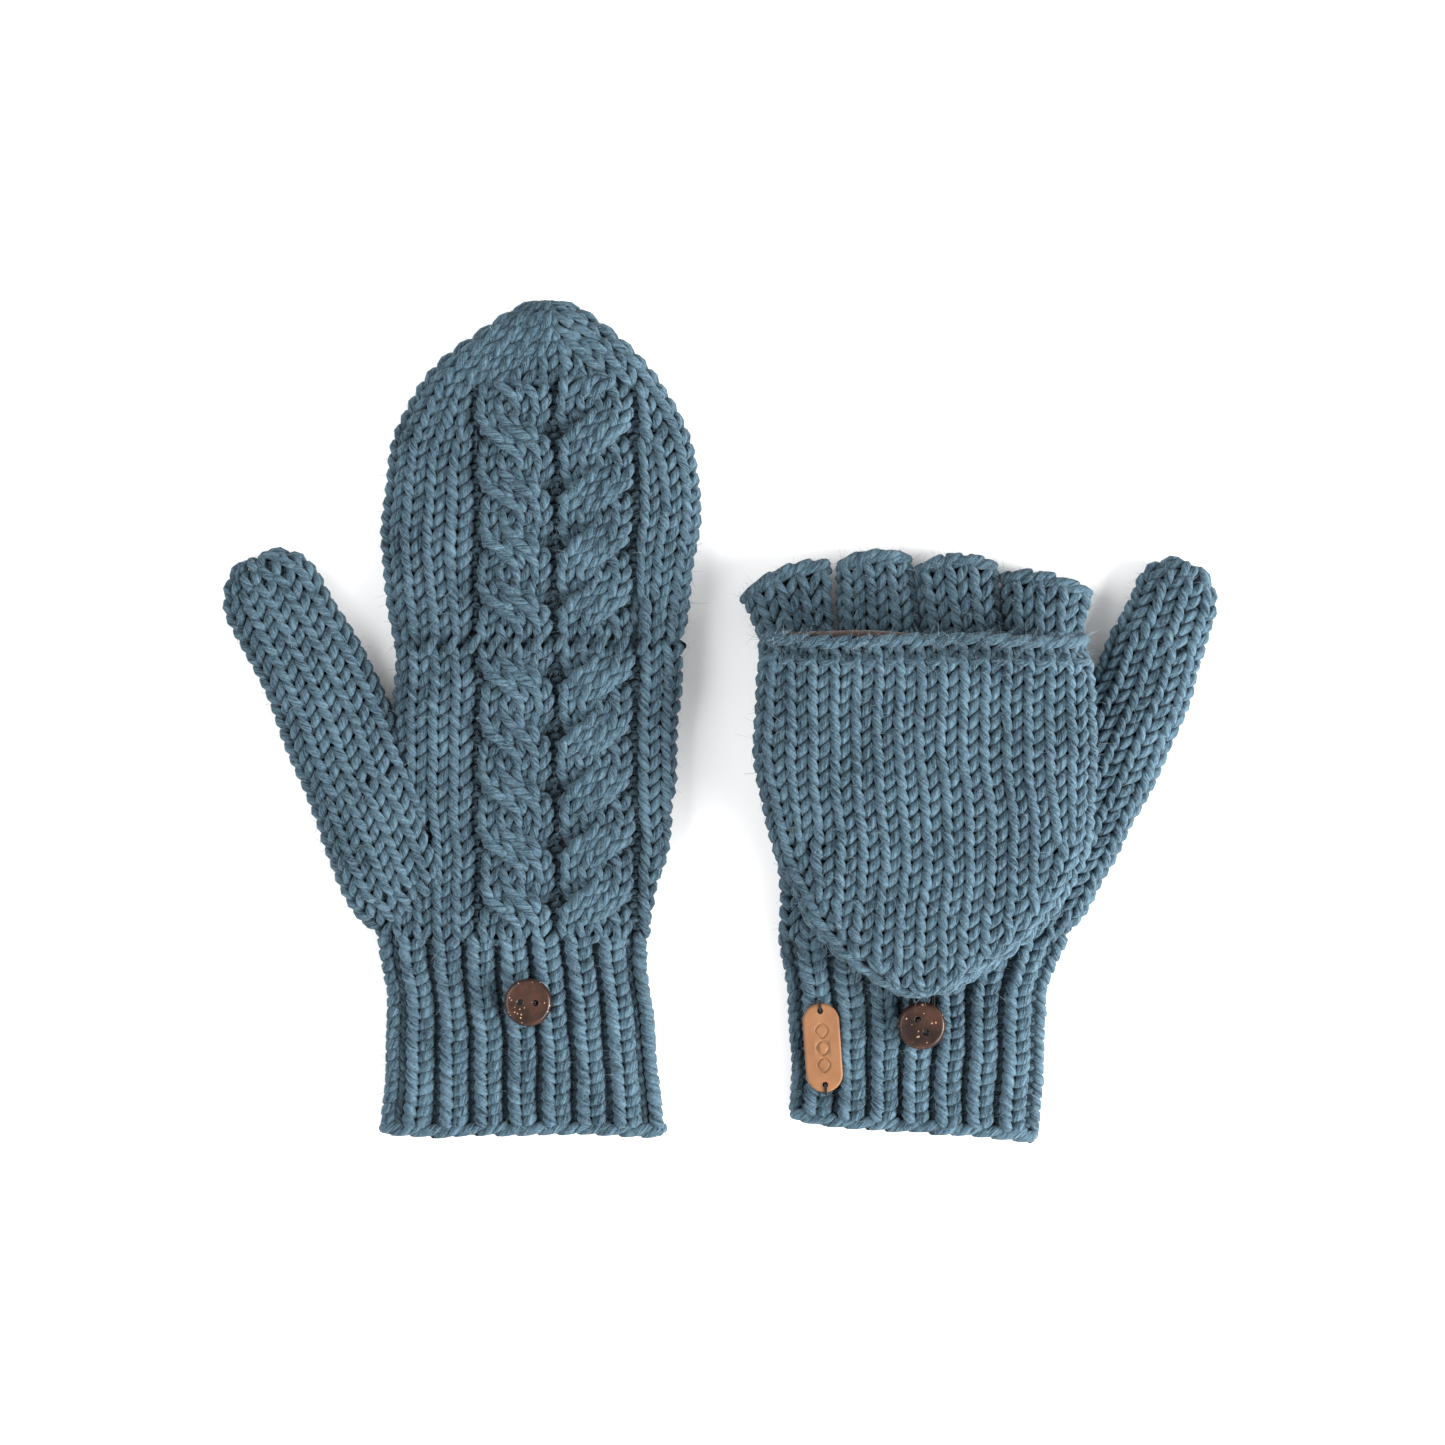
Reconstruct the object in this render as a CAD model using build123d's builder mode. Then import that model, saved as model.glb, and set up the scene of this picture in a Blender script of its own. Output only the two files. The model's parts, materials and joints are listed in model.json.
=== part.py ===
"""A pair of hand-knitted convertible mittens, lying palm down and ready to pull on.

Each mitten is a ribbed cuff, a hand tube with a full thumb and four short open finger tubes, and a
knitted cap (the flap) that is joined to the back of the hand. The right mitten's flap is closed over
its fingers. The left mitten's flap is folded back over the hand and held by a loop on a button.

Frame: +X to the viewer's right, +Y towards the fingertips, +Z up, away from the surface the palms
lie on. The origin is at the middle of the pair, on that surface. All sizes are in millimetres.
"""

import os
from math import cos, radians, sin

from build123d import *

os.makedirs("parts", exist_ok=True)

# ---- driving dimensions -------------------------------------------------------------------------

WALL = 3.0  # knitted fabric of the cuff, hand and thumb
FINGER_WALL = 2.5

HEM_Y = -133.6  # the cast-on edge of both cuffs
WAIST_Y = -85.0
CUFF_TOP_Y = -68.0
PALM_Y = -20.0
HEM_HIGH, WAIST_HIGH, CUFF_TOP_HIGH, PALM_HIGH, KNUCKLE_HIGH = 12.0, 13.0, 14.0, 16.2, 18.3
PALM_RISE_LENGTH = 22.0  # the palm leaves the surface this far before the hinge line
CORNER_SHARE = 0.42  # corner radius of a tube's section, as a share of its height

FINGER_LOW, FINGER_HIGH = 4.1, 15.1

FLAP_HIGH = 19.1  # the flap's thickness, which is also the height of the hinge line
FLAP_KNIT, FLAP_LINING = 2.8, 1.0
FLAP_EDGE_ROUND = 7.5
FLAP_BACK_START = 1.3  # from the hinge line, clear of the seam yarn
FLAP_PALM_START = 0.4
FLAP_EDGE_WIDTH = 3.2
FLAP_LINING_START = 5.0
FLIP_ANGLE = 182.8  # the folded flap slopes down with the back of the hand
SEAM_R = 0.75

THUMB_HIGH = 15.0
THUMB_EDGE_ROUND = 6.0

BUTTON_R, BUTTON_THICK = 7.5, 3.0
BUTTON_HOLE_R, BUTTON_HOLE_SPACING = 0.95, 4.8
SHANK_R, SHANK_HIGH = 1.4, 4.6
THREAD_R = 0.4

LOOP_R = 0.8  # radius of the loop's cord
LOOP_HALF_WIDTH = 3.4
LOOP_DROP = 8.2

LABEL_LONG, LABEL_WIDE, LABEL_THICK = 28.2, 11.6, 1.4
LABEL_HOLE_R, LABEL_HOLE_SPACING = 0.95, 23.4
LABEL_TURN = 4.0
LABEL_AT = (31.7, -102.9)

# Where each mitten lies: the left and right edges of its tube at the hem, the waist, the cuff's top,
# the middle of the palm and the hinge line.
RIGHT = dict(
    side="right",
    thumb_side=-1,
    hinge_y=24.8,
    edges=((-109.0, -17.0), (-107.6, -22.8), (-109.6, -23.4), (-105.4, -14.6), (-103.8, -12.6)),
    flap_half_width=50.5,
    flap_mouth_half_width=45.6,
    flap_length=109.0,
    flipped=False,
    button_at=(-61.3, -88.2),
    button_turn=3.0,
    # thumb: outer wrist, outer tip, inner tip, crotch, and a point inside the hand
    thumb_outline=((-113.6, -71.0), (-158.2, 36.0), (-127.0, 45.5), (-106.0, 6.0), (-88.0, -40.0)),
    # each finger: name, middle and width at the base, middle of the tip, width and turn of the tip
    fingers=(
        ("index_finger", -89.3, 20.2, (-91.5, 57.0), 21.0, 5.0),
        ("middle_finger", -68.6, 20.2, (-69.3, 66.0), 21.0, 1.5),
        ("ring_finger", -47.9, 20.2, (-47.2, 66.0), 21.0, -1.5),
        ("little_finger", -27.2, 20.2, (-25.0, 56.0), 20.0, -5.0),
    ),
)
LEFT = dict(
    side="left",
    thumb_side=1,
    hinge_y=26.0,
    edges=((21.8, 101.0), (21.0, 102.0), (18.4, 110.0), (15.2, 113.4), (11.4, 114.8)),
    flap_half_width=54.0,
    flap_mouth_half_width=51.0,
    flap_length=111.8,
    flipped=True,
    button_at=(62.8, -95.6),
    button_turn=-58.0,
    thumb_outline=((110.5, -73.0), (157.8, 36.0), (132.5, 45.5), (112.0, 6.0), (92.0, -40.0)),
    fingers=(
        ("little_finger", 24.2, 25.2, (20.0, 61.4), 30.4, 18.0),
        ("ring_finger", 50.1, 25.2, (48.1, 72.4), 24.8, 2.0),
        ("middle_finger", 76.0, 25.2, (74.4, 71.6), 26.8, 0.0),
        ("index_finger", 101.9, 25.2, (103.2, 61.3), 30.2, -9.5),
    ),
)


# ---- shapes that repeat -------------------------------------------------------------------------


def tube_section(y, left, right, low, high, inset):
    """A flat rounded section of a fabric tube, across the hand, drawn in the plane y."""
    middle = Plane(origin=((left + right) / 2, y, (low + high) / 2), x_dir=(1, 0, 0), z_dir=(0, 1, 0))
    tall = high - low - 2 * inset
    with BuildSketch(middle) as section:
        RectangleRounded(right - left - 2 * inset, tall, CORNER_SHARE * tall)
    return section.sketch


def tube(stations, inset):
    """A solid ruled through flat sections. A station is y, left, right, low, high."""
    with BuildPart() as body:
        for lower, upper in zip(stations, stations[1:]):
            loft([tube_section(*lower, inset), tube_section(*upper, inset)], ruled=True)
    return body.part


def cuff_stations(m):
    hem, waist, top, _, _ = m["edges"]
    return (
        (HEM_Y, *hem, 0, HEM_HIGH),
        (WAIST_Y, *waist, 0, WAIST_HIGH),
        (CUFF_TOP_Y, *top, 0, CUFF_TOP_HIGH),
    )


def hand_stations(m):
    """From the cuff's top to the hinge line. The palm rises a little before the fingers."""
    _, _, top, palm, knuckle = m["edges"]
    rise_y = m["hinge_y"] - PALM_RISE_LENGTH
    share = (rise_y - PALM_Y) / (m["hinge_y"] - PALM_Y)
    left, right, high = (
        a + (b - a) * share
        for a, b in zip((*palm, PALM_HIGH), (*knuckle, KNUCKLE_HIGH))
    )
    return (
        (CUFF_TOP_Y, *top, 0, CUFF_TOP_HIGH),
        (PALM_Y, *palm, 0, PALM_HIGH),
        (rise_y, left, right, 0, high),
        (m["hinge_y"], *knuckle, FINGER_LOW, KNUCKLE_HIGH),
    )


def thumb_shape(m, inset):
    """The thumb's flat outline with a round tip, pulled in by inset, as a soft slab."""
    wrist, outer, inner, crotch, inside = (Vector(*p) for p in m["thumb_outline"])
    tip = (outer + inner) / 2 + Vector(m["thumb_side"] * 3.2, 15.4)
    low, high = inset, THUMB_HIGH - inset
    with BuildPart() as slab:
        with BuildSketch(Plane.XY.offset(low)):
            with BuildLine():
                Polyline(inner, crotch, inside, wrist, outer)
                ThreePointArc(outer, tip, inner)
            make_face()
            if inset:
                offset(amount=-inset, mode=Mode.REPLACE)
        extrude(amount=high - low)
        flat = slab.edges().filter_by(GeomType.CIRCLE) + slab.edges().filter_by(GeomType.LINE)
        level = [e for e in flat if abs(e.bounding_box().size.Z) < 1e-6]
        fillet(level, THUMB_EDGE_ROUND - inset)
    return slab.part


def flap_slab(m, inset):
    """The closed flap as a soft slab: a rounded cap ahead of the hinge line, pulled in by inset."""
    wide, mouth, long = (
        m["flap_half_width"] - inset,
        m["flap_mouth_half_width"] - inset,
        m["flap_length"] - inset,
    )
    centre = sum(m["edges"][-1]) / 2
    with BuildPart() as slab:
        with BuildSketch(Plane(origin=(centre, m["hinge_y"], inset))):
            with BuildLine():
                side = Spline(
                    (mouth, 0),
                    (wide, 0.38 * long),
                    (0.94 * wide, 0.60 * long),
                    (0.82 * wide, 0.72 * long),
                    (0.60 * wide, 0.85 * long),
                    (0.31 * wide, 0.95 * long),
                    (0, long),
                    tangents=((0.12, 1), (-1, 0)),
                )
                mirror(side, about=Plane.YZ)
                Line((-mouth, 0), (mouth, 0))
            make_face()
        extrude(amount=FLAP_HIGH - 2 * inset)
        rims = slab.edges().filter_by(GeomType.BSPLINE)
        level = [e for e in rims if e.bounding_box().size.Z < 1e-3]
        fillet(level, FLAP_EDGE_ROUND - inset)
    return slab.part


def flap_shell(m, outer, inner, start, end=None):
    """The wall between two slabs, from start to end ahead of the hinge line."""
    with BuildPart() as shell:
        add(flap_slab(m, outer))
        add(flap_slab(m, inner), mode=Mode.SUBTRACT)
        split(bisect_by=Plane.XZ.offset(-(m["hinge_y"] + start)), keep=Keep.BOTTOM)
        if end:
            split(bisect_by=Plane.XZ.offset(-(m["hinge_y"] + end)), keep=Keep.TOP)
    return shell.part


def hinge_line(m):
    return Axis((0, m["hinge_y"], FLAP_HIGH), (1, 0, 0))


def as_it_lies(m, piece):
    """Turns a piece of the flap from closed to folded back, on the mitten that is stored so."""
    return piece.rotate(hinge_line(m), FLIP_ANGLE) if m["flipped"] else piece


def save(m, name, piece):
    label = f"{m['side']}_{name}"
    piece.label = label
    export_step(piece, f"parts/{label}.step")


# ---- the sub-parts ------------------------------------------------------------------------------


def make_cuff(m):
    """The ribbed cuff, an open tube from the hem to the start of the hand."""
    with BuildPart() as cuff:
        add(tube(cuff_stations(m), 0))
        add(tube(cuff_stations(m), WALL), mode=Mode.SUBTRACT)
    save(m, "cuff", cuff.part)


def make_hand(m):
    """The hand tube, open to the cuff, the fingers and the thumb."""
    with BuildPart() as hand:
        add(tube(hand_stations(m), 0))
        add(tube(hand_stations(m), WALL), mode=Mode.SUBTRACT)
        add(thumb_shape(m, WALL), mode=Mode.SUBTRACT)
    save(m, "hand", hand.part)


def make_thumb(m):
    """The full thumb, a closed-ended tube that opens into the side of the hand."""
    with BuildPart() as thumb:
        add(thumb_shape(m, 0))
        add(thumb_shape(m, WALL), mode=Mode.SUBTRACT)
        add(tube(hand_stations(m), 0), mode=Mode.SUBTRACT)
        add(tube(cuff_stations(m), 0), mode=Mode.SUBTRACT)
    save(m, "thumb", thumb.part)


def make_finger(m, name, base_x, base_wide, tip_at, tip_wide, tip_turn):
    """A short open finger tube, from the hinge line to its bound-off tip."""
    tall, level = FINGER_HIGH - FINGER_LOW, (FINGER_HIGH + FINGER_LOW) / 2
    turn = radians(tip_turn)
    base = Plane(origin=(base_x, m["hinge_y"], level), x_dir=(1, 0, 0), z_dir=(0, 1, 0))
    tip = Plane(
        origin=(*tip_at, level),
        x_dir=(cos(turn), sin(turn), 0),
        z_dir=(-sin(turn), cos(turn), 0),
    )
    with BuildPart() as finger:
        for inset, mode in ((0, Mode.ADD), (FINGER_WALL, Mode.SUBTRACT)):
            high = tall - 2 * inset
            with BuildSketch(base) as near:
                RectangleRounded(base_wide - 2 * inset, high, CORNER_SHARE * high)
            with BuildSketch(tip) as far:
                RectangleRounded(tip_wide - 2 * inset, high, CORNER_SHARE * high)
            loft([near.sketch, far.sketch], ruled=True, mode=mode)
    save(m, name, finger.part)


def make_flap(m):
    """The knitted cap in its real pieces: back panel, palm panel, mouth edge and fleece lining."""
    middle = Plane.XY.offset(FLAP_HIGH / 2)
    edge_end = FLAP_PALM_START + FLAP_EDGE_WIDTH
    with BuildPart() as back:
        add(flap_shell(m, 0, FLAP_KNIT, FLAP_BACK_START))
        split(bisect_by=middle, keep=Keep.TOP)
    save(m, "flap_back", as_it_lies(m, back.part))
    with BuildPart() as palm:
        add(flap_shell(m, 0, FLAP_KNIT, edge_end))
        split(bisect_by=middle, keep=Keep.BOTTOM)
    save(m, "flap_palm", as_it_lies(m, palm.part))
    with BuildPart() as edge:
        add(flap_shell(m, 0, FLAP_KNIT, FLAP_PALM_START, edge_end))
        split(bisect_by=middle, keep=Keep.BOTTOM)
    save(m, "flap_edge", as_it_lies(m, edge.part))
    lining = flap_shell(m, FLAP_KNIT, FLAP_KNIT + FLAP_LINING, FLAP_LINING_START)
    save(m, "flap_lining", as_it_lies(m, lining))


def make_flap_seam(m):
    """The yarn that joins the flap to the back of the hand, and that the flap turns about."""
    left, right = m["edges"][-1]
    with BuildPart() as seam:
        with BuildSketch(Plane.YZ.offset(left + 7)):
            with Locations((m["hinge_y"], FLAP_HIGH)):
                Circle(SEAM_R)
        extrude(amount=right - left - 14)
    save(m, "flap_seam", seam.part)


def nose(m):
    """The middle of the flap's tip as it lies: y and z."""
    ahead, below = m["flap_length"] + LOOP_R + 0.1, -FLAP_HIGH / 2
    turn = radians(FLIP_ANGLE) if m["flipped"] else 0
    return (
        m["hinge_y"] + ahead * cos(turn) - below * sin(turn),
        FLAP_HIGH + ahead * sin(turn) + below * cos(turn),
    )


def make_button_loop(m):
    """The cord loop at the flap's tip: hanging free, or down and round the button's thread."""
    x = sum(m["edges"][-1]) / 2
    y, z = nose(m)
    w = LOOP_HALF_WIDTH
    if m["flipped"]:
        bend_z = WAIST_HIGH + 1.4
        far_y = m["button_at"][1] - 1.0
        half = ((x + w, y, z), (x + w, y, bend_z), (x + w, far_y, bend_z), (x, far_y - w, bend_z))
        rounds = (2.0, 2.4)
    else:
        half = ((x + w, y, z), (x + w, y, z - LOOP_DROP), (x, y, z - LOOP_DROP))
        rounds = (2.4,)
    other = tuple((2 * x - px, py, pz) for px, py, pz in reversed(half[:-1]))
    corners = rounds + ((1.6,) if m["flipped"] else ()) + tuple(reversed(rounds))
    route = half + other if m["flipped"] else half[:-1] + other
    with BuildPart() as loop:
        with BuildLine() as path:
            FilletPolyline(*route, radius=list(corners))
        with BuildSketch(Plane(origin=path.line @ 0, z_dir=path.line % 0)):
            Circle(LOOP_R)
        sweep()
    save(m, "button_loop", loop.part)


def cuff_height(y):
    """Height of the cuff's upper face, which rises evenly from the hem to the waist."""
    return HEM_HIGH + (WAIST_HIGH - HEM_HIGH) * (y - HEM_Y) / (WAIST_Y - HEM_Y)


def make_button(m):
    """The coconut-shell button, with two holes and a rounded rim, and the thread that holds it."""
    x, y = m["button_at"]
    foot = cuff_height(y) + 0.1
    under = foot + SHANK_HIGH
    face = Plane(origin=(x, y, under)).rotated((0, 0, m["button_turn"]))
    with BuildPart() as button:
        with BuildSketch(face):
            Circle(BUTTON_R)
        extrude(amount=BUTTON_THICK)
        fillet(button.edges().group_by(Axis.Z)[-1], 1.2)
        fillet(button.edges().group_by(Axis.Z)[0], 0.6)
        with Locations(face.offset(BUTTON_THICK)):
            with GridLocations(BUTTON_HOLE_SPACING, 0, 2, 1):
                Hole(BUTTON_HOLE_R)
    save(m, "button", button.part)
    bar = 2 * THREAD_R
    with BuildPart() as thread:
        with BuildSketch(face.offset(-SHANK_HIGH)):
            Circle(SHANK_R)
        extrude(amount=SHANK_HIGH - bar)
        with BuildSketch(face.offset(-bar)):
            SlotCenterToCenter(BUTTON_HOLE_SPACING, 2 * bar)
        extrude(amount=bar)
        with BuildSketch(face):
            with GridLocations(BUTTON_HOLE_SPACING, 0, 2, 1):
                Circle(THREAD_R)
        extrude(amount=BUTTON_THICK)
        with BuildSketch(face.offset(BUTTON_THICK)):
            SlotCenterToCenter(BUTTON_HOLE_SPACING, 1.5 * bar)
        extrude(amount=bar)
    save(m, "button_thread", thread.part)


def make_label():
    """The small leather label sewn flat on the left cuff by its two holes, and its stitches."""
    x, y = LABEL_AT
    slope = (WAIST_HIGH - HEM_HIGH) / (WAIST_Y - HEM_Y)
    lie = Plane(origin=(x, y, cuff_height(y) + 0.15), z_dir=(0, -slope, 1), x_dir=(1, 0, 0))
    face = lie.rotated((0, 0, LABEL_TURN))
    with BuildPart() as label:
        with BuildSketch(face):
            SlotOverall(LABEL_LONG, LABEL_WIDE, rotation=90)
        extrude(amount=LABEL_THICK)
        with Locations(face.offset(LABEL_THICK)):
            with GridLocations(0, LABEL_HOLE_SPACING, 1, 2):
                Hole(LABEL_HOLE_R)
        fillet(label.edges().filter_by(GeomType.LINE).group_by(Axis.Z)[-1], 0.3)
    label.part.label = "left_label"
    export_step(label.part, "parts/left_label.step")
    reach = LABEL_LONG / 2 - LABEL_HOLE_SPACING / 2 + THREAD_R + 0.2
    with BuildPart() as stitches:
        for way in (1, -1):
            hole_y, end_y = way * LABEL_HOLE_SPACING / 2, way * (LABEL_HOLE_SPACING / 2 + reach)
            with BuildSketch(face):
                with Locations((0, hole_y), (0, end_y)):
                    Circle(THREAD_R)
            extrude(amount=LABEL_THICK)
            with BuildSketch(face.offset(LABEL_THICK)):
                with Locations((0, (hole_y + end_y) / 2)):
                    SlotOverall(reach + 2 * THREAD_R, 2 * THREAD_R, rotation=90)
            extrude(amount=THREAD_R * 1.5)
    stitches.part.label = "left_label_stitches"
    export_step(stitches.part, "parts/left_label_stitches.step")


for mitten in (RIGHT, LEFT):
    make_cuff(mitten)
    make_hand(mitten)
    make_thumb(mitten)
    for finger in mitten["fingers"]:
        make_finger(mitten, *finger)
    make_flap(mitten)
    make_flap_seam(mitten)
    make_button_loop(mitten)
    make_button(mitten)
make_label()
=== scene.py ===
import json
from math import atan2, cos, pi, radians, sin, tau

import bmesh
import bpy
import numpy as np
from mathutils import Matrix, Vector


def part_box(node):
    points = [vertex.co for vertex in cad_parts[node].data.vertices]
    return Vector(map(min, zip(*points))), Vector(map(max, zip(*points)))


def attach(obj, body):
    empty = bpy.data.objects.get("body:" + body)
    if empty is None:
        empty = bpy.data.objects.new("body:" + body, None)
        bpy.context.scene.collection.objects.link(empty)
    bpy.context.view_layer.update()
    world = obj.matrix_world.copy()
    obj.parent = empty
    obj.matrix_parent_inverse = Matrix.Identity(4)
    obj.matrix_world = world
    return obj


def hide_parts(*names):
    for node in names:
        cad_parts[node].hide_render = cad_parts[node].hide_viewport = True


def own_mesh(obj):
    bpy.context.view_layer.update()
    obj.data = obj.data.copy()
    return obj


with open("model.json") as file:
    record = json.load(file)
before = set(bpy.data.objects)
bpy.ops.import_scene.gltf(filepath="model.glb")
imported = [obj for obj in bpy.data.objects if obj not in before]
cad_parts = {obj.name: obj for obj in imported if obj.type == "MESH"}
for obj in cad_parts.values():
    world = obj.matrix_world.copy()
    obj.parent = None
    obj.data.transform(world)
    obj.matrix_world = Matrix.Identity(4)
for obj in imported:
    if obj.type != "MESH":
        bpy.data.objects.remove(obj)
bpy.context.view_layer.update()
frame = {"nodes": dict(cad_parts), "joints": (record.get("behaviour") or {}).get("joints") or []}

# The looks of a pair of hand-knitted convertible mittens. Every knitted piece is real yarn: each row
# is a thread that runs through knit and purl loops, laid on a soft surface taken from the CAD frame.
# Knitting is worked in millimetres, and MM turns it into metres when a mesh is made.

MM = 0.001
SEED = 7

# ---- yarn and gauge ----

STITCH = 6.7  # width of a stitch
ROW = 4.45
RIB_ROW = 3.8
YARN_R = 1.34
YARN_SIDES = 8
LOOP_STEPS = 16  # points along the yarn of one stitch
LEG_SPREAD = 1.7  # how far the two legs of a loop swing sideways
LEG_SLANT = 0.62  # the yarn's twist pulls one leg upright and lays the other over
LEG_LIFT = 0.3  # and the upright leg stands higher
UNEVEN_SIZE, UNEVEN_PLACE = 0.05, 0.12  # how much the stitches differ by hand
LOOP_REACH = 0.8  # half the height of a loop, as a share of a row
LOOP_DEPTH = 1.5  # how far a loop comes out of the fabric and goes back in
FIBRES = 2.6  # fineness of the fibres that show on the yarn
FIBRE_R = 0.05  # thickness of a loose fibre
FUZZ_WIDE, FUZZ_THUMB, FUZZ_FINGER, FUZZ_EDGE = 2400, 1600, 700, 420  # how many on one piece
PAINTED_DEPTH_SHADE = 0.56  # painted shade: the yarn's colour is darkened where it lies deep in the fabric, down to this share at the deepest parts
PURL_SINK = 1.1  # purl columns lie this much lower than knit ones, twice over
FABRIC = 2.3  # from the CAD surface in to the middle of the yarn
BACKING_OUT, BACKING_IN = -1.5, -2.7  # the fabric behind the loops, from the middle of the yarn
HIDDEN_DEEP = 0.8  # loops further than this inside another piece are left out
CHAIN_SLANT, CHAIN_DEEP, CHAIN_YARN = 1.25, 0.95, 1.05
SEAM_LONG, SEAM_WIDE, SEAM_TALL = 2.6, 1.6, 0.9  # half the size of a stitch of the seam
HEM_FADE = 45.0  # the hem is pulled up a little, and the cuff is back in place this far above it
LEAST_STITCH = 0.45  # a narrower column than this share of a stitch is decreased away
RIB = 10.4  # a knit column and a purl column of the cuff
RIB_KNIT_SHARE = 0.73
RIB_SINK = 1.7  # as PURL_SINK, in the cuff
RIB_YARN = 1.14  # the rib is worked tighter, so its yarn stands plumper

ALL_ROUND, BACK_HALF, PALM_HALF = (0, 1), (-0.25, 0.25), (0.25, 0.75)  # shares of the way round

# ---- the cable panel on the back ----

CABLE = 22.6
PANEL_PURL = 2.6
PANEL_HALF = PANEL_PURL * 1.5 + CABLE
PANEL_SPARE = 13  # the cables end where the flap's back has less than this on both sides of them
CABLE_ROWS = 4  # rows from one crossing to the next
CABLE_RISE = 1.9
CABLE_BASE = 0.6
CABLE_SNAP = 0.7  # the higher, the quicker the strands cross, and the longer they run straight
CABLE_SPREAD = 0.5  # how much wider a strand lies where it crosses

# ---- lining, button, loop and label ----

LINING_INSET, LINING_THICK = 5.4, 1.1
MOUTH_REACH = 2.8  # the flap's mouth overlaps the hand by this much past the hinge line
LIP, LIP_AT, LIP_WIDE = 2.0, 0.13, 0.085  # the lining peeks out of the folded flap's mouth here
LINING_REACH = 2.0  # how much further the lining comes to the mouth on the palm
LOOP_R = 0.8
BUTTON_HOLE_R, BUTTON_HOLE_APART = 0.95, 4.8
BUTTON_DISH, BUTTON_ROUND, BUTTON_BEND = 0.45, 1.25, 0.5  # how far its top drops for each
SEWING_R = 0.3
WINDING_R, SHANK_R, SHANK_TURNS = 0.42, 1.1, 6
LABEL_LONG, LABEL_WIDE, LABEL_THICK = 28.2, 11.6, 1.4
LABEL_HOLES, LABEL_HOLE_R = 23.4, 0.9
LABEL_EDGE, LABEL_ROUND = 0.7, 0.45  # the width of its pressed edge, and how far that drops
LABEL_TURN, LABEL_TILT = 4.0, 1.2
DIAMOND_WIDE, DIAMOND_TALL, DIAMOND_APART, DIAMOND_LINE = 2.0, 2.2, 5.4, 0.42

# ---- where the pieces lie ----

FLIP_ANGLE = 182.8  # the left flap is folded back this far
THUMB_LEAN = 23.5
GUSSET_RISE = 2.6  # the thumb's gusset lies on the hand, and thins out above it
GUSSET_AHEAD, GUSSET_FADE = 12, 35  # it ends this far past the thumb's widest place, thinning out
THUMB_TUCK = 4.0  # and tucks in where it meets the cuff
THUMB_ROOT, THUMB_DROP = 16, 7.0  # where over this length it also sinks this deep
THUMB_ON_HAND = 0.3  # the share of the thumb's length that lies on the hand
THUMB_FULL_AT, FLAP_TRIM_AT = (0.54, 0.4), (0.58, 0.42)  # where they swell or narrow, as for swell()
SOFT_HAND, SOFT_THUMB, SOFT_FINGER = 3.0, 2.5, 2.4  # how square a section is: 2 is an ellipse
TIP_PULL = 2.2  # the last loops of a tip stand this far above where they are drawn together
MITTENS = (
    dict(
        side="right", thumb=-1, panel_x=-53.0, flipped=False, button_turn=-3.0,
        hem=(3.2, 0), flap_lean=2.0, flap_trim=1.5, thumb_pull=2.5, thumb_full=-2.0,
    ),
    dict(
        side="left", thumb=1, panel_x=57.5, flipped=True, button_turn=-58.0,
        hem=(4.2, -0.09), flap_lean=0.0, flap_trim=4.0, thumb_pull=6.0, thumb_full=4.2,
    ),
)
FINGERS = ("index_finger", "middle_finger", "ring_finger", "little_finger")


def rotation(axis, degrees):
    return np.array(Matrix.Rotation(radians(degrees), 3, axis))


class Place:
    """A local frame: how its points turn and shift into the CAD's frame, in millimetres."""

    def __init__(self, turn=np.eye(3), origin=(0, 0, 0)):
        self.turn, self.origin = np.array(turn), np.array(origin, float)

    def out(self, points):
        return points @ self.turn.T + self.origin

    def back(self, points):
        return (points - self.origin) @ self.turn


def vertices(mesh):
    points = np.empty(len(mesh.vertices) * 3)
    mesh.vertices.foreach_get("co", points)
    return points.reshape(-1, 3)


def node_points(name):
    return vertices(frame["nodes"][name].data) / MM


def box_of(name):
    """A CAD node's lowest and highest corner, in millimetres."""
    return [np.array(corner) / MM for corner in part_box(name)]


def distances(points):
    """How far along a line each of its points is."""
    return np.concatenate([[0], np.cumsum(np.linalg.norm(np.diff(points, axis=0), axis=1))])


def grid_quads(deep, wide):
    """The quads of a sheet of points in deep + 1 rows of wide + 1."""
    i, k = np.meshgrid(np.arange(deep), np.arange(wide), indexing="ij")
    corner = (i * (wide + 1) + k).reshape(-1)
    return np.stack([corner, corner + 1, corner + wide + 2, corner + wide + 1], -1)


def ring_quads(rings, around):
    """The quads of a tube of rings of points."""
    here = np.arange(rings - 1)[:, None] * around
    j = np.arange(around)[None, :]
    k = (j + 1) % around
    return np.stack([here + j, here + around + j, here + around + k, here + k], -1).reshape(-1, 4)


def rim_quads(rim, count):
    """The quads between one sheet's rim and that of a second sheet, count points further on."""
    return np.stack([rim, rim + count, rim + count + 1, rim + 1], -1)


def sections(names, place, heights):
    """Cuts CAD nodes with planes across the local Y axis: height, left, right, low and high of each."""
    spans = []
    for name in names:
        mesh = frame["nodes"][name].data
        ends = np.empty(len(mesh.edges) * 2, dtype=np.int32)
        mesh.edges.foreach_get("vertices", ends)
        spans.append(place.back(node_points(name))[ends.reshape(-1, 2)])
    first, second = np.concatenate(spans).transpose(1, 0, 2)
    rise = second[:, 1] - first[:, 1]
    found = []
    for height in heights:
        crosses = (first[:, 1] - height) * (second[:, 1] - height) < 0
        share = (height - first[crosses, 1]) / rise[crosses]
        cut = first[crosses] + (second[crosses] - first[crosses]) * share[:, None]
        low, high = cut.min(0), cut.max(0)
        found.append((height, low[0], high[0], low[2], high[2]))
    return np.array(found)


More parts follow.
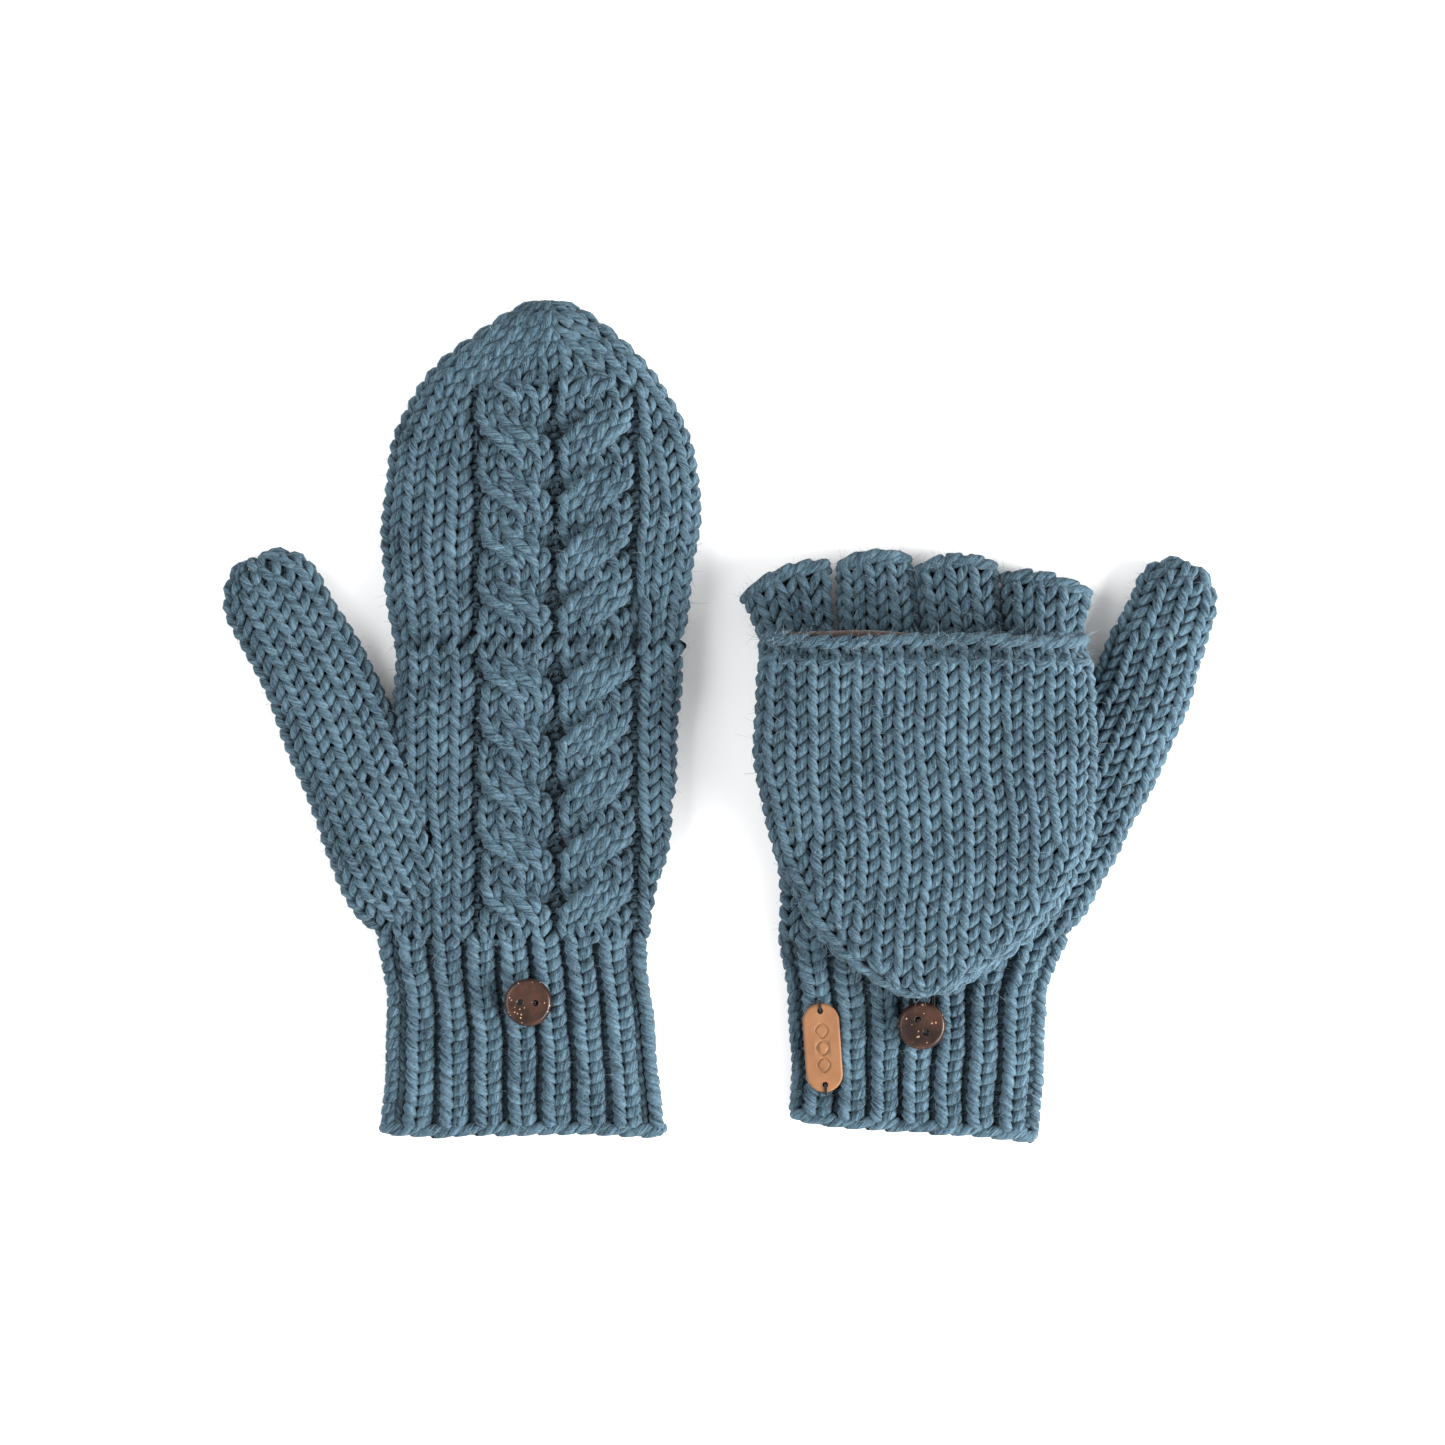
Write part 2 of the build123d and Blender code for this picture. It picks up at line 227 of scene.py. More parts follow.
def wobble(points):
    """Hand-made unevenness: a slow drift of the fabric of a few tenths of a millimetre."""
    x, y, z = points[..., 0], points[..., 1], points[..., 2]
    drift = np.stack(
        [
            0.45 * np.sin(y / 9.1 + 0.6 * np.sin(x / 17.0)) + 0.25 * np.sin(y / 4.3 + x / 11.0),
            0.40 * np.sin(x / 10.3 + 0.9 * np.sin(y / 23.0)) + 0.20 * np.sin(x / 5.1 - y / 13.0),
            0.35 * np.sin(x / 12.7 + y / 15.1) + 0.25 * np.sin(x / 6.7 - y / 8.9 + z / 9.0),
        ],
        axis=-1,
    )
    return points + drift


class Tube:
    """A soft closed surface through flat sections, inset from the CAD's outer face.

    A point on it is a, v, n: a is the share of the way round from the middle of the top, v the
    distance up the surface from its start, and n the distance out of it. Towards its end the rows
    bow up in the middle by crown and tilt by skew, and the higher tip is, the later they do so. hem
    is how far the start is pulled up, and its tilt.
    """

    ROUND = 240

    def __init__(
        self, stations, softness, place=Place(), crown=0.0, skew=0.0, inset=FABRIC, tip=2, hem=(0, 0)
    ):
        height, left, right, low, high = np.array(stations, float).T
        half, tall = (right - left) / 2 - inset, (high - low) / 2 - inset
        fits = (half > 0.4) & (tall > 0.4)
        self.height, self.middle = height[fits], ((left + right) / 2)[fits]
        self.half, self.tall, self.level = half[fits], tall[fits], ((low + high) / 2)[fits]
        self.place, self.softness, self.hem = place, softness, hem
        self.crown, self.skew, self.tip = crown, skew, tip
        angle = np.linspace(0, tau, 1441)
        power = 2 / softness
        ring_x = np.sign(np.sin(angle)) * np.abs(np.sin(angle)) ** power
        ring_z = np.sign(np.cos(angle)) * np.abs(np.cos(angle)) ** power
        rings, rounds = [], []
        for y, x, b, z, c in zip(self.height, self.middle, self.half, self.level, self.tall):
            ring = np.stack([x + b * ring_x, np.full(angle.shape, y), z + c * ring_z], 1)
            run = distances(ring)
            even = np.linspace(0, run[-1], self.ROUND + 1)
            rings.append(np.stack([np.interp(even, run, ring[:, i]) for i in range(3)], 1))
            rounds.append(run[-1])
        self.rings = np.array(rings)
        self.rounds = np.array(rounds)
        steps = np.hypot(np.diff(self.height), np.diff(self.level + self.tall))
        self.v = np.concatenate([[0], np.cumsum(steps)])

    @property
    def length(self):
        return self.v[-1]

    def around(self, v):
        return np.interp(v, self.v, self.rounds)

    def flat(self, a, v):
        row = np.interp(v, self.v, np.arange(len(self.v)))
        i = np.minimum(row.astype(int), len(self.v) - 2)
        row_share = (row - i)[..., None]
        column = (a % 1.0) * self.ROUND
        k = np.minimum(column.astype(int), self.ROUND - 1)
        column_share = (column - k)[..., None]
        near = self.rings[i, k] * (1 - column_share) + self.rings[i, k + 1] * column_share
        far = self.rings[i + 1, k] * (1 - column_share) + self.rings[i + 1, k + 1] * column_share
        points = near * (1 - row_share) + far * row_share
        points[..., 1] += v - np.clip(v, 0, self.length)
        return points

    def outward(self, a, v):
        across = self.flat(a + 2e-3, v) - self.flat(a - 2e-3, v)
        along = self.flat(a, v + 0.5) - self.flat(a, v - 0.5)
        normal = np.cross(across, along)
        return normal / np.linalg.norm(normal, axis=-1, keepdims=True)

    def at(self, a, v, n):
        """Points in the CAD's frame, with the direction out of the fabric at each."""
        a, v, n = np.broadcast_arrays(a, v, n)
        normal = self.outward(a, v)
        points = self.flat(a, v) + n[..., None] * normal
        share = np.clip(v / self.length, 0, 1.02) ** self.tip
        off = points[..., 0] - np.interp(v, self.v, self.middle)
        bow = 0.55 - (off / np.interp(v, self.v, self.half + FABRIC)) ** 2
        points[..., 1] += share * (self.crown * bow + self.skew * off)
        points[..., 1] += np.clip(1 - v / HEM_FADE, 0, 1) * (self.hem[0] + self.hem[1] * off)
        return wobble(self.place.out(points)), normal @ self.place.turn.T

    def holds(self, points, margin):
        """True where a point in the CAD's frame is inside the surface by more than margin."""
        local = self.place.back(points)
        y = local[..., 1]
        half = np.maximum(np.interp(y, self.height, self.half) - margin, 0.1)
        tall = np.maximum(np.interp(y, self.height, self.tall) - margin, 0.1)
        x = (local[..., 0] - np.interp(y, self.height, self.middle)) / half
        z = (local[..., 2] - np.interp(y, self.height, self.level)) / tall
        within = np.abs(x) ** self.softness + np.abs(z) ** self.softness < 1
        return within & (y > self.height[0]) & (y < self.height[-1])


# ---- yarn ----


class Knitting:
    """Gathers the yarn, the backing and the loose fibres of one knitted piece into one mesh."""

    def __init__(self, name, yarn=1.0):
        self.name = name
        self.random = np.random.default_rng(SEED + sum(map(ord, name)))
        self.parts, self.lines = [], []
        self.yarn = yarn * YARN_R

    def thread(self, points, radius, normal, closed=False, out=0.0):
        """Adds a tube of yarn along points. out is how far they stand out of the fabric."""
        radius, out = (np.broadcast_to(values, len(points)) for values in (radius, out))
        normal = np.broadcast_to(normal, points.shape)
        if closed:
            points, radius, normal, out = (np.concatenate([v, v[:1]]) for v in (points, radius, normal, out))
        forward = np.gradient(points, axis=0)
        if closed:
            forward[0] = forward[-1] = points[1] - points[-2]
        forward /= np.linalg.norm(forward, axis=1, keepdims=True) + 1e-9
        side = np.cross(forward, normal)
        side /= np.linalg.norm(side, axis=1, keepdims=True) + 1e-9
        up = np.cross(side, forward)
        share = np.arange(YARN_SIDES) / YARN_SIDES
        turn = share * tau
        ring = np.cos(turn)[None, :, None] * side[:, None] + np.sin(turn)[None, :, None] * up[:, None]
        spots = (points[:, None] + radius[:, None, None] * ring).reshape(-1, 3)
        # how far each point of the yarn's surface stands out of the fabric, which the wool's painted shade
        # darkens by
        level = out[:, None] + radius[:, None] * (ring * normal[:, None]).sum(-1)
        run = distances(points) + self.random.uniform(0, 50)
        near, far, first, second = np.broadcast_arrays(
            run[:-1, None], run[1:, None], share, share + 1 / YARN_SIDES
        )
        corners = ((near, first), (far, first), (far, second), (near, second))
        uv = np.stack([np.stack(corner, -1) for corner in corners], axis=2)
        faces = ring_quads(len(points), YARN_SIDES)
        self.parts.append((spots, faces, uv.reshape(-1, 2), 0, level.ravel()))
        self.lines.append((points, radius, normal))

    def backing(self, tube, a_range, v_range, outer=BACKING_OUT):
        """Adds the fabric behind the loops, as a shell with rims, so that no light comes through."""
        wide = 96 if a_range == ALL_ROUND else 56
        deep = max(8, int((v_range[1] - v_range[0]) / 2.5))
        a = np.linspace(*a_range, wide + 1)[None, :]
        v = np.linspace(*v_range, deep + 1)[:, None]
        layers = [tube.at(a, v, np.array(n))[0].reshape(-1, 3) for n in (outer, BACKING_IN)]
        sheet = grid_quads(deep, wide)
        count = len(layers[0])
        first = np.arange(wide)
        rims = [rim_quads(first, count), rim_quads(deep * (wide + 1) + first, count)[:, ::-1]]
        faces = np.concatenate([sheet, sheet[:, ::-1] + count, *rims])
        points = np.concatenate(layers)
        spots = np.stack(np.broadcast_arrays(a * 30, v), -1)
        uv = np.concatenate([spots.reshape(-1, 2)] * 2)[faces.reshape(-1)]
        self.parts.append((points, faces, uv, 1, np.zeros(len(points))))

    def fuzz(self, count):
        """Adds loose fibres that stand off the yarn, as thin curved slivers."""
        points = np.concatenate([line[0] for line in self.lines])
        radius = np.concatenate([line[1] for line in self.lines])
        normal = np.concatenate([line[2] for line in self.lines])
        pick = self.random.integers(0, len(points), count)
        scatter = self.random.normal(size=(count, 3))
        lift = normal[pick] * self.random.uniform(0.15, 1.0, (count, 1))
        aim = scatter * 0.8 + lift
        aim /= np.linalg.norm(aim, axis=1, keepdims=True)
        curl = self.random.normal(size=(count, 3)) * 0.55
        start = points[pick] + normal[pick] * radius[pick, None] * 0.75
        long = self.random.uniform(1.0, 3.4, (count, 1))
        share = np.array([0.0, 0.5, 1.0])[None, :, None]
        centre = start[:, None] + (aim * long)[:, None] * share + (curl * long)[:, None] * share**2
        centre = centre[centre[..., 2].min(1) > 0]
        count = len(centre)
        across = np.cross(centre[:, 1] - centre[:, 0], [0.3, 0.5, 1.0])
        across /= np.linalg.norm(across, axis=1, keepdims=True) + 1e-9
        other = np.cross(centre[:, 1] - centre[:, 0], across)
        other /= np.linalg.norm(other, axis=1, keepdims=True) + 1e-9
        corners = FIBRE_R * np.stack([across, other, -across, -other], 1)
        rings = centre[:, :, None] + corners[:, None] * (1 - 0.6 * share)[..., None]
        j = np.arange(4)
        k = (j + 1) % 4
        sides = [np.stack([low + j, low + k, low + 4 + k, low + 4 + j], -1) for low in (0, 4)]
        sliver = np.concatenate([*sides, [j[::-1]], [8 + j]])
        faces = (np.arange(count)[:, None, None] * 12 + sliver).reshape(-1, 4)
        points = rings.reshape(-1, 3)
        self.parts.append((points, faces, np.zeros((faces.size, 2)), 2, np.zeros(len(points))))

    def finish(self, body, node, fuzz=0):
        """Makes the mesh, with loose fibres, which rides on a CAD body in place of its CAD node."""
        if fuzz:
            self.fuzz(fuzz)
        obj = mesh_object(self.name, self.parts, (wool, backing_wool, loose_fibre))
        return settle(obj, body, node)


def add_object(name, data):
    obj = bpy.data.objects.new(name, data)
    bpy.context.scene.collection.objects.link(obj)
    return obj


def settle(obj, body, node):
    """Lets a piece ride on a CAD body in place of one of its nodes, which it hides."""
    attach(obj, body)
    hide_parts(node)
    return obj


def mesh_object(name, parts, materials):
    """One object from parts: points in millimetres, quads, their corners' UVs, a material number, and
    how far each point stands out of the fabric."""
    points, faces, uvs, numbers, levels, start = [], [], [], [], [], 0
    for spots, quads, uv, number, level in parts:
        points.append(spots)
        levels.append(level)
        faces.append(quads + start)
        uvs.append(uv)
        numbers.append(np.full(len(quads), number))
        start += len(spots)
    points, faces = np.concatenate(points) * MM, np.concatenate(faces)
    points[:, 2] = np.maximum(points[:, 2], 0)  # what the mittens lie on flattens the yarn under them
    mesh = bpy.data.meshes.new(name)
    mesh.vertices.add(len(points))
    mesh.vertices.foreach_set("co", points.astype(np.float32).ravel())
    mesh.loops.add(faces.size)
    mesh.loops.foreach_set("vertex_index", faces.astype(np.int32).ravel())
    mesh.polygons.add(len(faces))
    mesh.polygons.foreach_set("loop_start", np.arange(0, faces.size, 4, dtype=np.int32))
    mesh.polygons.foreach_set("loop_total", np.full(len(faces), 4, dtype=np.int32))
    mesh.polygons.foreach_set("material_index", np.concatenate(numbers).astype(np.int32))
    mesh.update(calc_edges=True)
    mesh.polygons.foreach_set("use_smooth", np.ones(len(faces), dtype=bool))
    mesh.attributes.new("level", "FLOAT", "POINT").data.foreach_set("value", np.concatenate(levels))
    layer = mesh.uv_layers.new(name="yarn")
    layer.data.foreach_set("uv", np.concatenate(uvs).astype(np.float32).ravel())
    for material in materials:
        mesh.materials.append(material)
    return add_object(name, mesh)


def knit_row(knitting, tube, v, tall, edges, purl, lift, sink, hidden):
    """Adds one row of loops between neighbouring column edges, given in millimetres round the tube."""
    t = np.linspace(0, tau, LOOP_STEPS + 1)
    heights = v - tall * np.cos(t)
    bounds = edges(heights)
    left, right = bounds[:, :-1].T, bounds[:, 1:].T
    width = right - left
    count = len(width)
    face = np.where(np.broadcast_to(purl, count), -1.0, 1.0)[:, None]
    before, after = np.roll(face, 1, axis=0), np.roll(face, -1, axis=0)
    share = t[None, :] / tau
    ease_in, ease_out = np.clip(share * 4, 0, 1), np.clip((1 - share) * 4, 0, 1)
    blend = face + (before - face) * (1 - ease_in) / 2 + (after - face) * (1 - ease_out) / 2
    uneven = 1 + knitting.random.normal(0, UNEVEN_SIZE, (3, count, 1))
    shift = knitting.random.normal(0, UNEVEN_PLACE, (2, count, 1))
    spread = LEG_SPREAD * np.clip(width / STITCH, 0.3, 1.15) * uneven[0]
    round_way = left + width * share + spread * np.sin(2 * t) - LEG_SLANT * np.cos(t)
    ends = np.sin(np.pi * share) ** 0.5
    round_way = round_way + shift[0] * ends
    up_way = v - tall * (1 + (uneven[1] - 1) * ends) * np.cos(t) + shift[1] * ends
    out = lift(heights)[None, :] + sink * (blend - 1) - blend * LOOP_DEPTH * np.cos(2 * t) * uneven[2]
    out = out + LEG_LIFT * np.sin(t)
    thick = knitting.yarn * (1 - 0.12 * np.cos(2 * t)) * np.clip(width / STITCH, 0.72, 1.3) ** 0.5
    a = round_way / tube.around(up_way)
    points, normal = tube.at(a, up_way, out)
    keep = np.ones(count, dtype=bool)
    for surface in hidden:
        keep &= ~surface.holds(points.mean(1), HIDDEN_DEEP)
    cuts = np.flatnonzero(np.diff(np.concatenate([[0], keep.astype(int), [0]])))
    for begin, end in zip(cuts[::2], cuts[1::2]):
        pick = slice(begin, end)

        def flat(values):
            body = values[pick, :-1]
            return np.concatenate([body.reshape(-1, *values.shape[2:]), values[end - 1, -1:]])

        thick_here, out_here = (flat(np.broadcast_to(v, points.shape[:2])) for v in (thick, out))
        knitting.thread(flat(points), thick_here, flat(normal), out=out_here)


def knit(knitting, tube, rows, edges, purl=lambda row: False, lift=0.0, sink=PURL_SINK, hidden=()):
    """Adds rows of stitches. purl gives the purl columns of a row, and lift how far it stands out."""
    raise_by = lift if callable(lift) else lambda v: np.full(np.shape(v), lift)
    tall = LOOP_REACH * (rows[1] - rows[0] if len(rows) > 1 else ROW)
    for number, v in enumerate(rows):
        knit_row(knitting, tube, v, tall, edges, purl(number), raise_by, sink, hidden)


def cable(knitting, tube, rows, centre, hand):
    """Adds a rope cable: two strands of two stitches that cross in front of each other."""
    swing = CABLE / 4
    for strand in (0, 1):

        def phase(v):
            return np.pi * ((v - rows[0]) / (CABLE_ROWS * ROW) + strand)

        def edges(v):
            wave = np.tanh(CABLE_SNAP * np.cos(phase(v))) / np.tanh(CABLE_SNAP)
            middle = centre(v) + hand * swing * wave
            half = swing * (1 + CABLE_SPREAD * np.sin(phase(v)) ** 2)
            return middle[:, None] + np.array([-1, 0, 1]) * half[:, None]

        def lift(v):
            return CABLE_BASE + CABLE_RISE * np.sin(phase(v))

        knit(knitting, tube, rows, edges, lift=lift)


def chain(knitting, spot, long):
    """Adds a bound-off edge, a chain of loops seen side-on, so that one slanting strand of each shows.
    spot takes distances along, across and out of the fabric."""
    count = max(2, round(long / STITCH))
    link = long / count
    t = np.arange(LOOP_STEPS) / LOOP_STEPS * tau
    for number in range(count):
        grow = 1 + knitting.random.normal(0, 0.06)
        along = (number + 0.5) * link - 0.72 * link * grow * np.cos(t)
        across = -CHAIN_SLANT * np.cos(t) * grow + knitting.random.normal(0, UNEVEN_PLACE)
        out = CHAIN_DEEP * np.sin(t) * (1 - 0.4 * np.cos(t))
        points, normal = spot(along, across, out)
        radius = knitting.yarn * CHAIN_YARN * (1 - 0.15 * np.cos(2 * t))
        knitting.thread(points, radius, normal, closed=True)


# ---- materials ----


class Shader:
    """A small helper that builds a material's nodes."""

    def __init__(self, name, **surface):
        self.material = bpy.data.materials.new(name)
        self.material.use_nodes = True
        self.tree = self.material.node_tree
        self.surface = self.tree.nodes["Principled BSDF"]
        for key, value in surface.items():
            self.surface.inputs[key.replace("_", " ")].default_value = value

    def add(self, kind, inputs=None, **settings):
        node = self.tree.nodes.new("ShaderNode" + kind)
        for key, value in settings.items():
            setattr(node, key, value)
        for key, value in (inputs or {}).items():
            if isinstance(value, bpy.types.NodeSocket):
                self.tree.links.new(value, node.inputs[key])
            else:
                node.inputs[key].default_value = value
        return node.outputs[0]

    def yarn_uv(self):
        """How far along the yarn in millimetres, and how far round it."""
        parts = self.tree.nodes.new("ShaderNodeSeparateXYZ")
        self.tree.links.new(self.add("UVMap", uv_map="yarn"), parts.inputs[0])
        return parts.outputs[0], parts.outputs[1]

    def math(self, operation, first, second=0.0, third=0.0):
        return self.add("Math", {0: first, 1: second, 2: third}, operation=operation)

    def noise(self, scale, detail=2.0, vector=None, rough=0.5):
        spot = vector or self.tree_object()
        return self.add("TexNoise", {"Vector": spot, "Scale": scale, "Detail": detail, "Roughness": rough})

    def tree_object(self):
        node = self.tree.nodes.new("ShaderNodeTexCoord")
        return node.outputs["Object"]

    def ramp(self, value, low, high, first, second):
        share = self.add("MapRange", {"Value": value, "From Min": low, "From Max": high})
        return self.add("MixRGB", {"Fac": share, "Color1": (*first, 1), "Color2": (*second, 1)})

    def use(self, colour, height=None, strength=0.5, distance=0.3):
        self.tree.links.new(colour, self.surface.inputs["Base Color"])
        if height is not None:
            bump = self.add("Bump", {"Height": height, "Strength": strength, "Distance": distance * MM})
            self.tree.links.new(bump, self.surface.inputs["Normal"])
        return self.material


def make_wool(name, dark, light, plies=3, pitch=11.0):
    """Soft plied wool: long fibres that follow the twist of the yarn, with lighter and darker flecks, and
    painted shade in the plies' grooves and where the yarn lies deep in the fabric.
    """
    s = Shader(name, Roughness=0.95, Sheen_Weight=0.19, Sheen_Roughness=0.5, Specular_IOR_Level=0.06)
    s.surface.inputs["Sheen Tint"].default_value = (0.62, 0.84, 1.0, 1)
    along, turn = s.yarn_uv()
    turn = s.math("MULTIPLY", turn, tau)
    twist = s.math("SUBTRACT", turn, s.math("MULTIPLY", along, tau / pitch))
    ply = s.math("ABSOLUTE", s.math("SINE", s.math("MULTIPLY", twist, plies / 2)))
    lay = s.add(
        "CombineXYZ",
        {
            0: s.math("MULTIPLY", s.math("COSINE", twist), FIBRES),
            1: s.math("MULTIPLY", s.math("SINE", twist), FIBRES),
            2: s.math("MULTIPLY", along, 0.28),
        },
    )
    fibre = s.noise(1.0, detail=4.0, vector=lay, rough=0.6)
    grain = s.noise(1100.0, detail=3.0)
    drift = s.noise(60.0, detail=2.0)
    # colour tone: the fibres' own streaks, with painted shade that makes the grooves between the plies a
    # little darker
    shade = s.math("MULTIPLY_ADD", fibre, 1.9, s.math("MULTIPLY", ply, 0.22))
    shade = s.math("ADD", shade, s.math("MULTIPLY_ADD", drift, 0.7, s.math("MULTIPLY", grain, 0.8)))
    # painted shade: the colour is darkened where the yarn lies deep in the fabric, by how far each point
    # stands out of it
    level = s.add("Attribute", attribute_name="level")
    reach = {"From Min": -1.2, "From Max": 1.9, "To Min": PAINTED_DEPTH_SHADE, "To Max": 1.0}
    depth = s.add("MapRange", {"Value": level, **reach})
    colour = s.ramp(shade, 1.46, 2.3, dark, light)
    colour = s.add("MixRGB", {"Fac": 1.0, "Color1": colour, "Color2": depth}, blend_type="MULTIPLY")
    height = s.math("MULTIPLY_ADD", fibre, 1.4, s.math("MULTIPLY", grain, 0.6))
    height = s.math("MULTIPLY_ADD", ply, 0.35, height)
    return s.use(colour, height, strength=1.0, distance=0.8)


def make_backing():
    """The fabric behind the loops and inside the tubes: rows of purl bumps, in painted shade: its colour is
    far darker than the yarn's, and darker again between the bumps.
    """
    s = Shader("wool_backing", Roughness=1.0, Sheen_Weight=0.2, Specular_IOR_Level=0.05)
    across, up = s.yarn_uv()
    wave = s.math("SINE", s.math("MULTIPLY", across, tau))
    row = s.math("ADD", s.math("MULTIPLY", up, tau / ROW), wave)
    bumps = s.math("ABSOLUTE", s.math("SINE", row))
    grain = s.noise(700.0, detail=3.0)
    height = s.math("MULTIPLY_ADD", grain, 0.5, bumps)
    # painted shade: the backing's colour is far darker than the yarn's, and darker between the bumps
    colour = s.ramp(height, 0.2, 1.4, (0.0065, 0.0125, 0.018), (0.020, 0.035, 0.045))
    return s.use(colour, height, strength=0.8, distance=1.2)


def make_speckled(name, scale, low, high, dark, light, **surface):
    """A plain material whose colour drifts between two."""
    s = Shader(name, **surface)
    return s.use(s.ramp(s.noise(scale), low, high, dark, light))


def make_fleece():
    s = Shader("brown_fleece", Roughness=1.0, Sheen_Weight=0.5, Sheen_Roughness=0.6, Specular_IOR_Level=0.05)
    tufts = s.noise(900.0, detail=4.0, rough=0.7)
    clumps = s.noise(260.0, detail=2.0)
    height = s.math("MULTIPLY_ADD", clumps, 0.8, tufts)
    return s.use(s.ramp(height, 0.6, 1.2, (0.025, 0.015, 0.011), (0.080, 0.048, 0.036)), height, 1.0, 0.8)


def make_coconut():
    """Dark shell with pale flecks and short fibres, polished."""
    s = Shader("coconut_shell", Roughness=0.26, Specular_IOR_Level=0.24, Coat_Weight=0.1, Coat_Roughness=0.15)
    cloud = s.noise(160.0, detail=4.0, rough=0.6)
    base = s.ramp(cloud, 0.35, 0.65, (0.0115, 0.0058, 0.0042), (0.045, 0.0195, 0.0125))
    cells = s.add("TexVoronoi", {"Vector": s.tree_object(), "Scale": 700.0, "Randomness": 1.0})
    spread = s.noise(430.0, detail=0.0)
    fleck = s.math("MULTIPLY", s.math("LESS_THAN", cells, 0.2), s.math("GREATER_THAN", spread, 0.53))
    colour = s.add("MixRGB", {"Fac": fleck, "Color1": base, "Color2": (0.335, 0.20, 0.12, 1)})
    return s.use(colour, s.math("SUBTRACT", cloud, fleck), 0.25, 0.15)


def make_elastic():
    """Black braided cover over rubber."""
    s = Shader("black_elastic", Roughness=0.7, Specular_IOR_Level=0.12)
    along, turn = s.yarn_uv()
    along, turn = s.math("MULTIPLY", along, tau / 0.9), s.math("MULTIPLY", turn, 3 * tau)
    first, second = (s.math("SINE", s.math(way, along, turn)) for way in ("ADD", "SUBTRACT"))
    braid = s.math("MULTIPLY", first, second)
    return s.use(s.ramp(braid, -1.0, 1.0, (0.003, 0.003, 0.0035), (0.014, 0.014, 0.016)), braid, 0.8, 0.3)


def make_leather():
    """Natural tan leather with a fine grain."""
    s = Shader("tan_leather", Roughness=0.55, Specular_IOR_Level=0.2)
    pores = s.noise(2200.0, detail=4.0, rough=0.6)
    tone = s.noise(150.0, detail=3.0)
    height = s.math("MULTIPLY_ADD", tone, 0.3, pores)
    shade = s.math("MULTIPLY_ADD", pores, 0.35, tone)
    colour = s.ramp(shade, 0.35, 1.0, (0.153, 0.065, 0.027), (0.233, 0.112, 0.052))
    return s.use(colour, height, 0.5, 0.12)


wool = make_wool("wool_yarn", (0.011, 0.023, 0.033), (0.107, 0.180, 0.232))
backing_wool = make_backing()
loose_fibre = make_speckled(
    "loose_fibre", 80.0, 0.3, 0.7, (0.09, 0.14, 0.175), (0.225, 0.285, 0.32),
    Roughness=1.0, Sheen_Weight=0.3, Specular_IOR_Level=0.1,
)
fleece = make_fleece()
coconut = make_coconut()
elastic = make_elastic()
leather = make_leather()
sewing = make_speckled(
    "sewing_thread", 3000.0, 0.35, 0.65, (0.005, 0.004, 0.004), (0.020, 0.015, 0.013),
    Roughness=0.8, Specular_IOR_Level=0.2,
)


# ---- the surfaces that each mitten is knitted on ----


def hinge_of(side):
    joint = next(j for j in frame["joints"] if j["name"] == f"{side}_flap_fold")
    return np.array(joint["pos_m"]) / MM


def even(first, last, count):
    return np.linspace(first + 0.05, last - 0.05, count)


def swell(share, middle, reach):
    """A smooth bump of height 1 round middle, which fades to nothing at reach on both sides."""
    return np.cos(pi / 2 * np.clip((share - middle) / reach, -1, 1)) ** 2


def body_surface(m):
    """The cuff and the hand, one tube from the hem to the hinge line."""
    side = m["side"]
    low, top = box_of(f"{side}_cuff")[0][1], box_of(f"{side}_hand")[1][1]
    cuts = sections([f"{side}_cuff", f"{side}_hand"], Place(), even(low, top, 80))
    return Tube(cuts, SOFT_HAND, hem=m["hem"])


def flap_surface(m, inset=FABRIC):
    """The flap as it is when closed, and the turn that folds it back where it is stored so."""
    side = m["side"]
    hinge = hinge_of(side)
    turn = rotation("X", FLIP_ANGLE) if m["flipped"] else np.eye(3)
    place = Place(turn, hinge)
    names = [f"{side}_flap_back", f"{side}_flap_palm", f"{side}_flap_edge"]
    tip = max(place.back(node_points(name))[:, 1].max() for name in names)
    heights = tip * np.sin(np.linspace(0.012, pi / 2 - 0.004, 110))
    cuts = sections(names, place, heights)
    share = (cuts[:, :1] / tip) ** 3
    cuts[:, 1:3] += m["flap_lean"] * share
    cuts[:, 1] += m["flap_trim"] * swell(cuts[:, 0] / tip, *FLAP_TRIM_AT)
    cuts[:, :1] -= TIP_PULL * share
    return Tube(cuts, SOFT_HAND, place, inset=inset, crown=1.2, tip=24)


def thumb_surface(m):
    """The thumb along its own leaning axis. Inside the hand it keeps the width that it has outside."""
    name = f"{m['side']}_thumb"
    lean = m["thumb"] * THUMB_LEAN
    points = node_points(name)
    top = points[points[:, 1].argmax()]
    place = Place(rotation("Z", -lean), (top[0], top[1], 0))
    local = place.back(points)
    low, high = local[:, 1].min(), local[:, 1].max()
    heights = low + (high - low) * np.sin(np.linspace(0.02, pi / 2 - 0.006, 90))
    cuts = sections([name], place, heights)
    width = cuts[:, 2] - cuts[:, 1]
    widest = width.argmax()
    outer, inner = (1, 2) if m["thumb"] < 0 else (2, 1)
    cuts[:widest, inner] = cuts[:widest, outer] - m["thumb"] * width[widest]
    cuts[:widest, 3], cuts[:widest, 4] = cuts[widest, 3], cuts[widest, 4]
    inside = np.clip((cuts[widest, 0] + GUSSET_AHEAD - cuts[:, 0]) / GUSSET_FADE, 0, 1)
    ending = np.clip(1 - (cuts[:, 0] - cuts[0, 0]) / THUMB_ROOT, 0, 1) ** 2
    cuts[:, 4] += GUSSET_RISE * inside - THUMB_DROP * ending
    cuts[:, outer] -= m["thumb"] * THUMB_TUCK * ending
    up = (cuts[:, 0] - low) / (high - low)
    cuts[:, outer] += m["thumb"] * m["thumb_full"] * swell(up, *THUMB_FULL_AT)
    cuts[:, 0] -= m["thumb_pull"] * up**3
    return Tube(cuts, SOFT_THUMB, place)


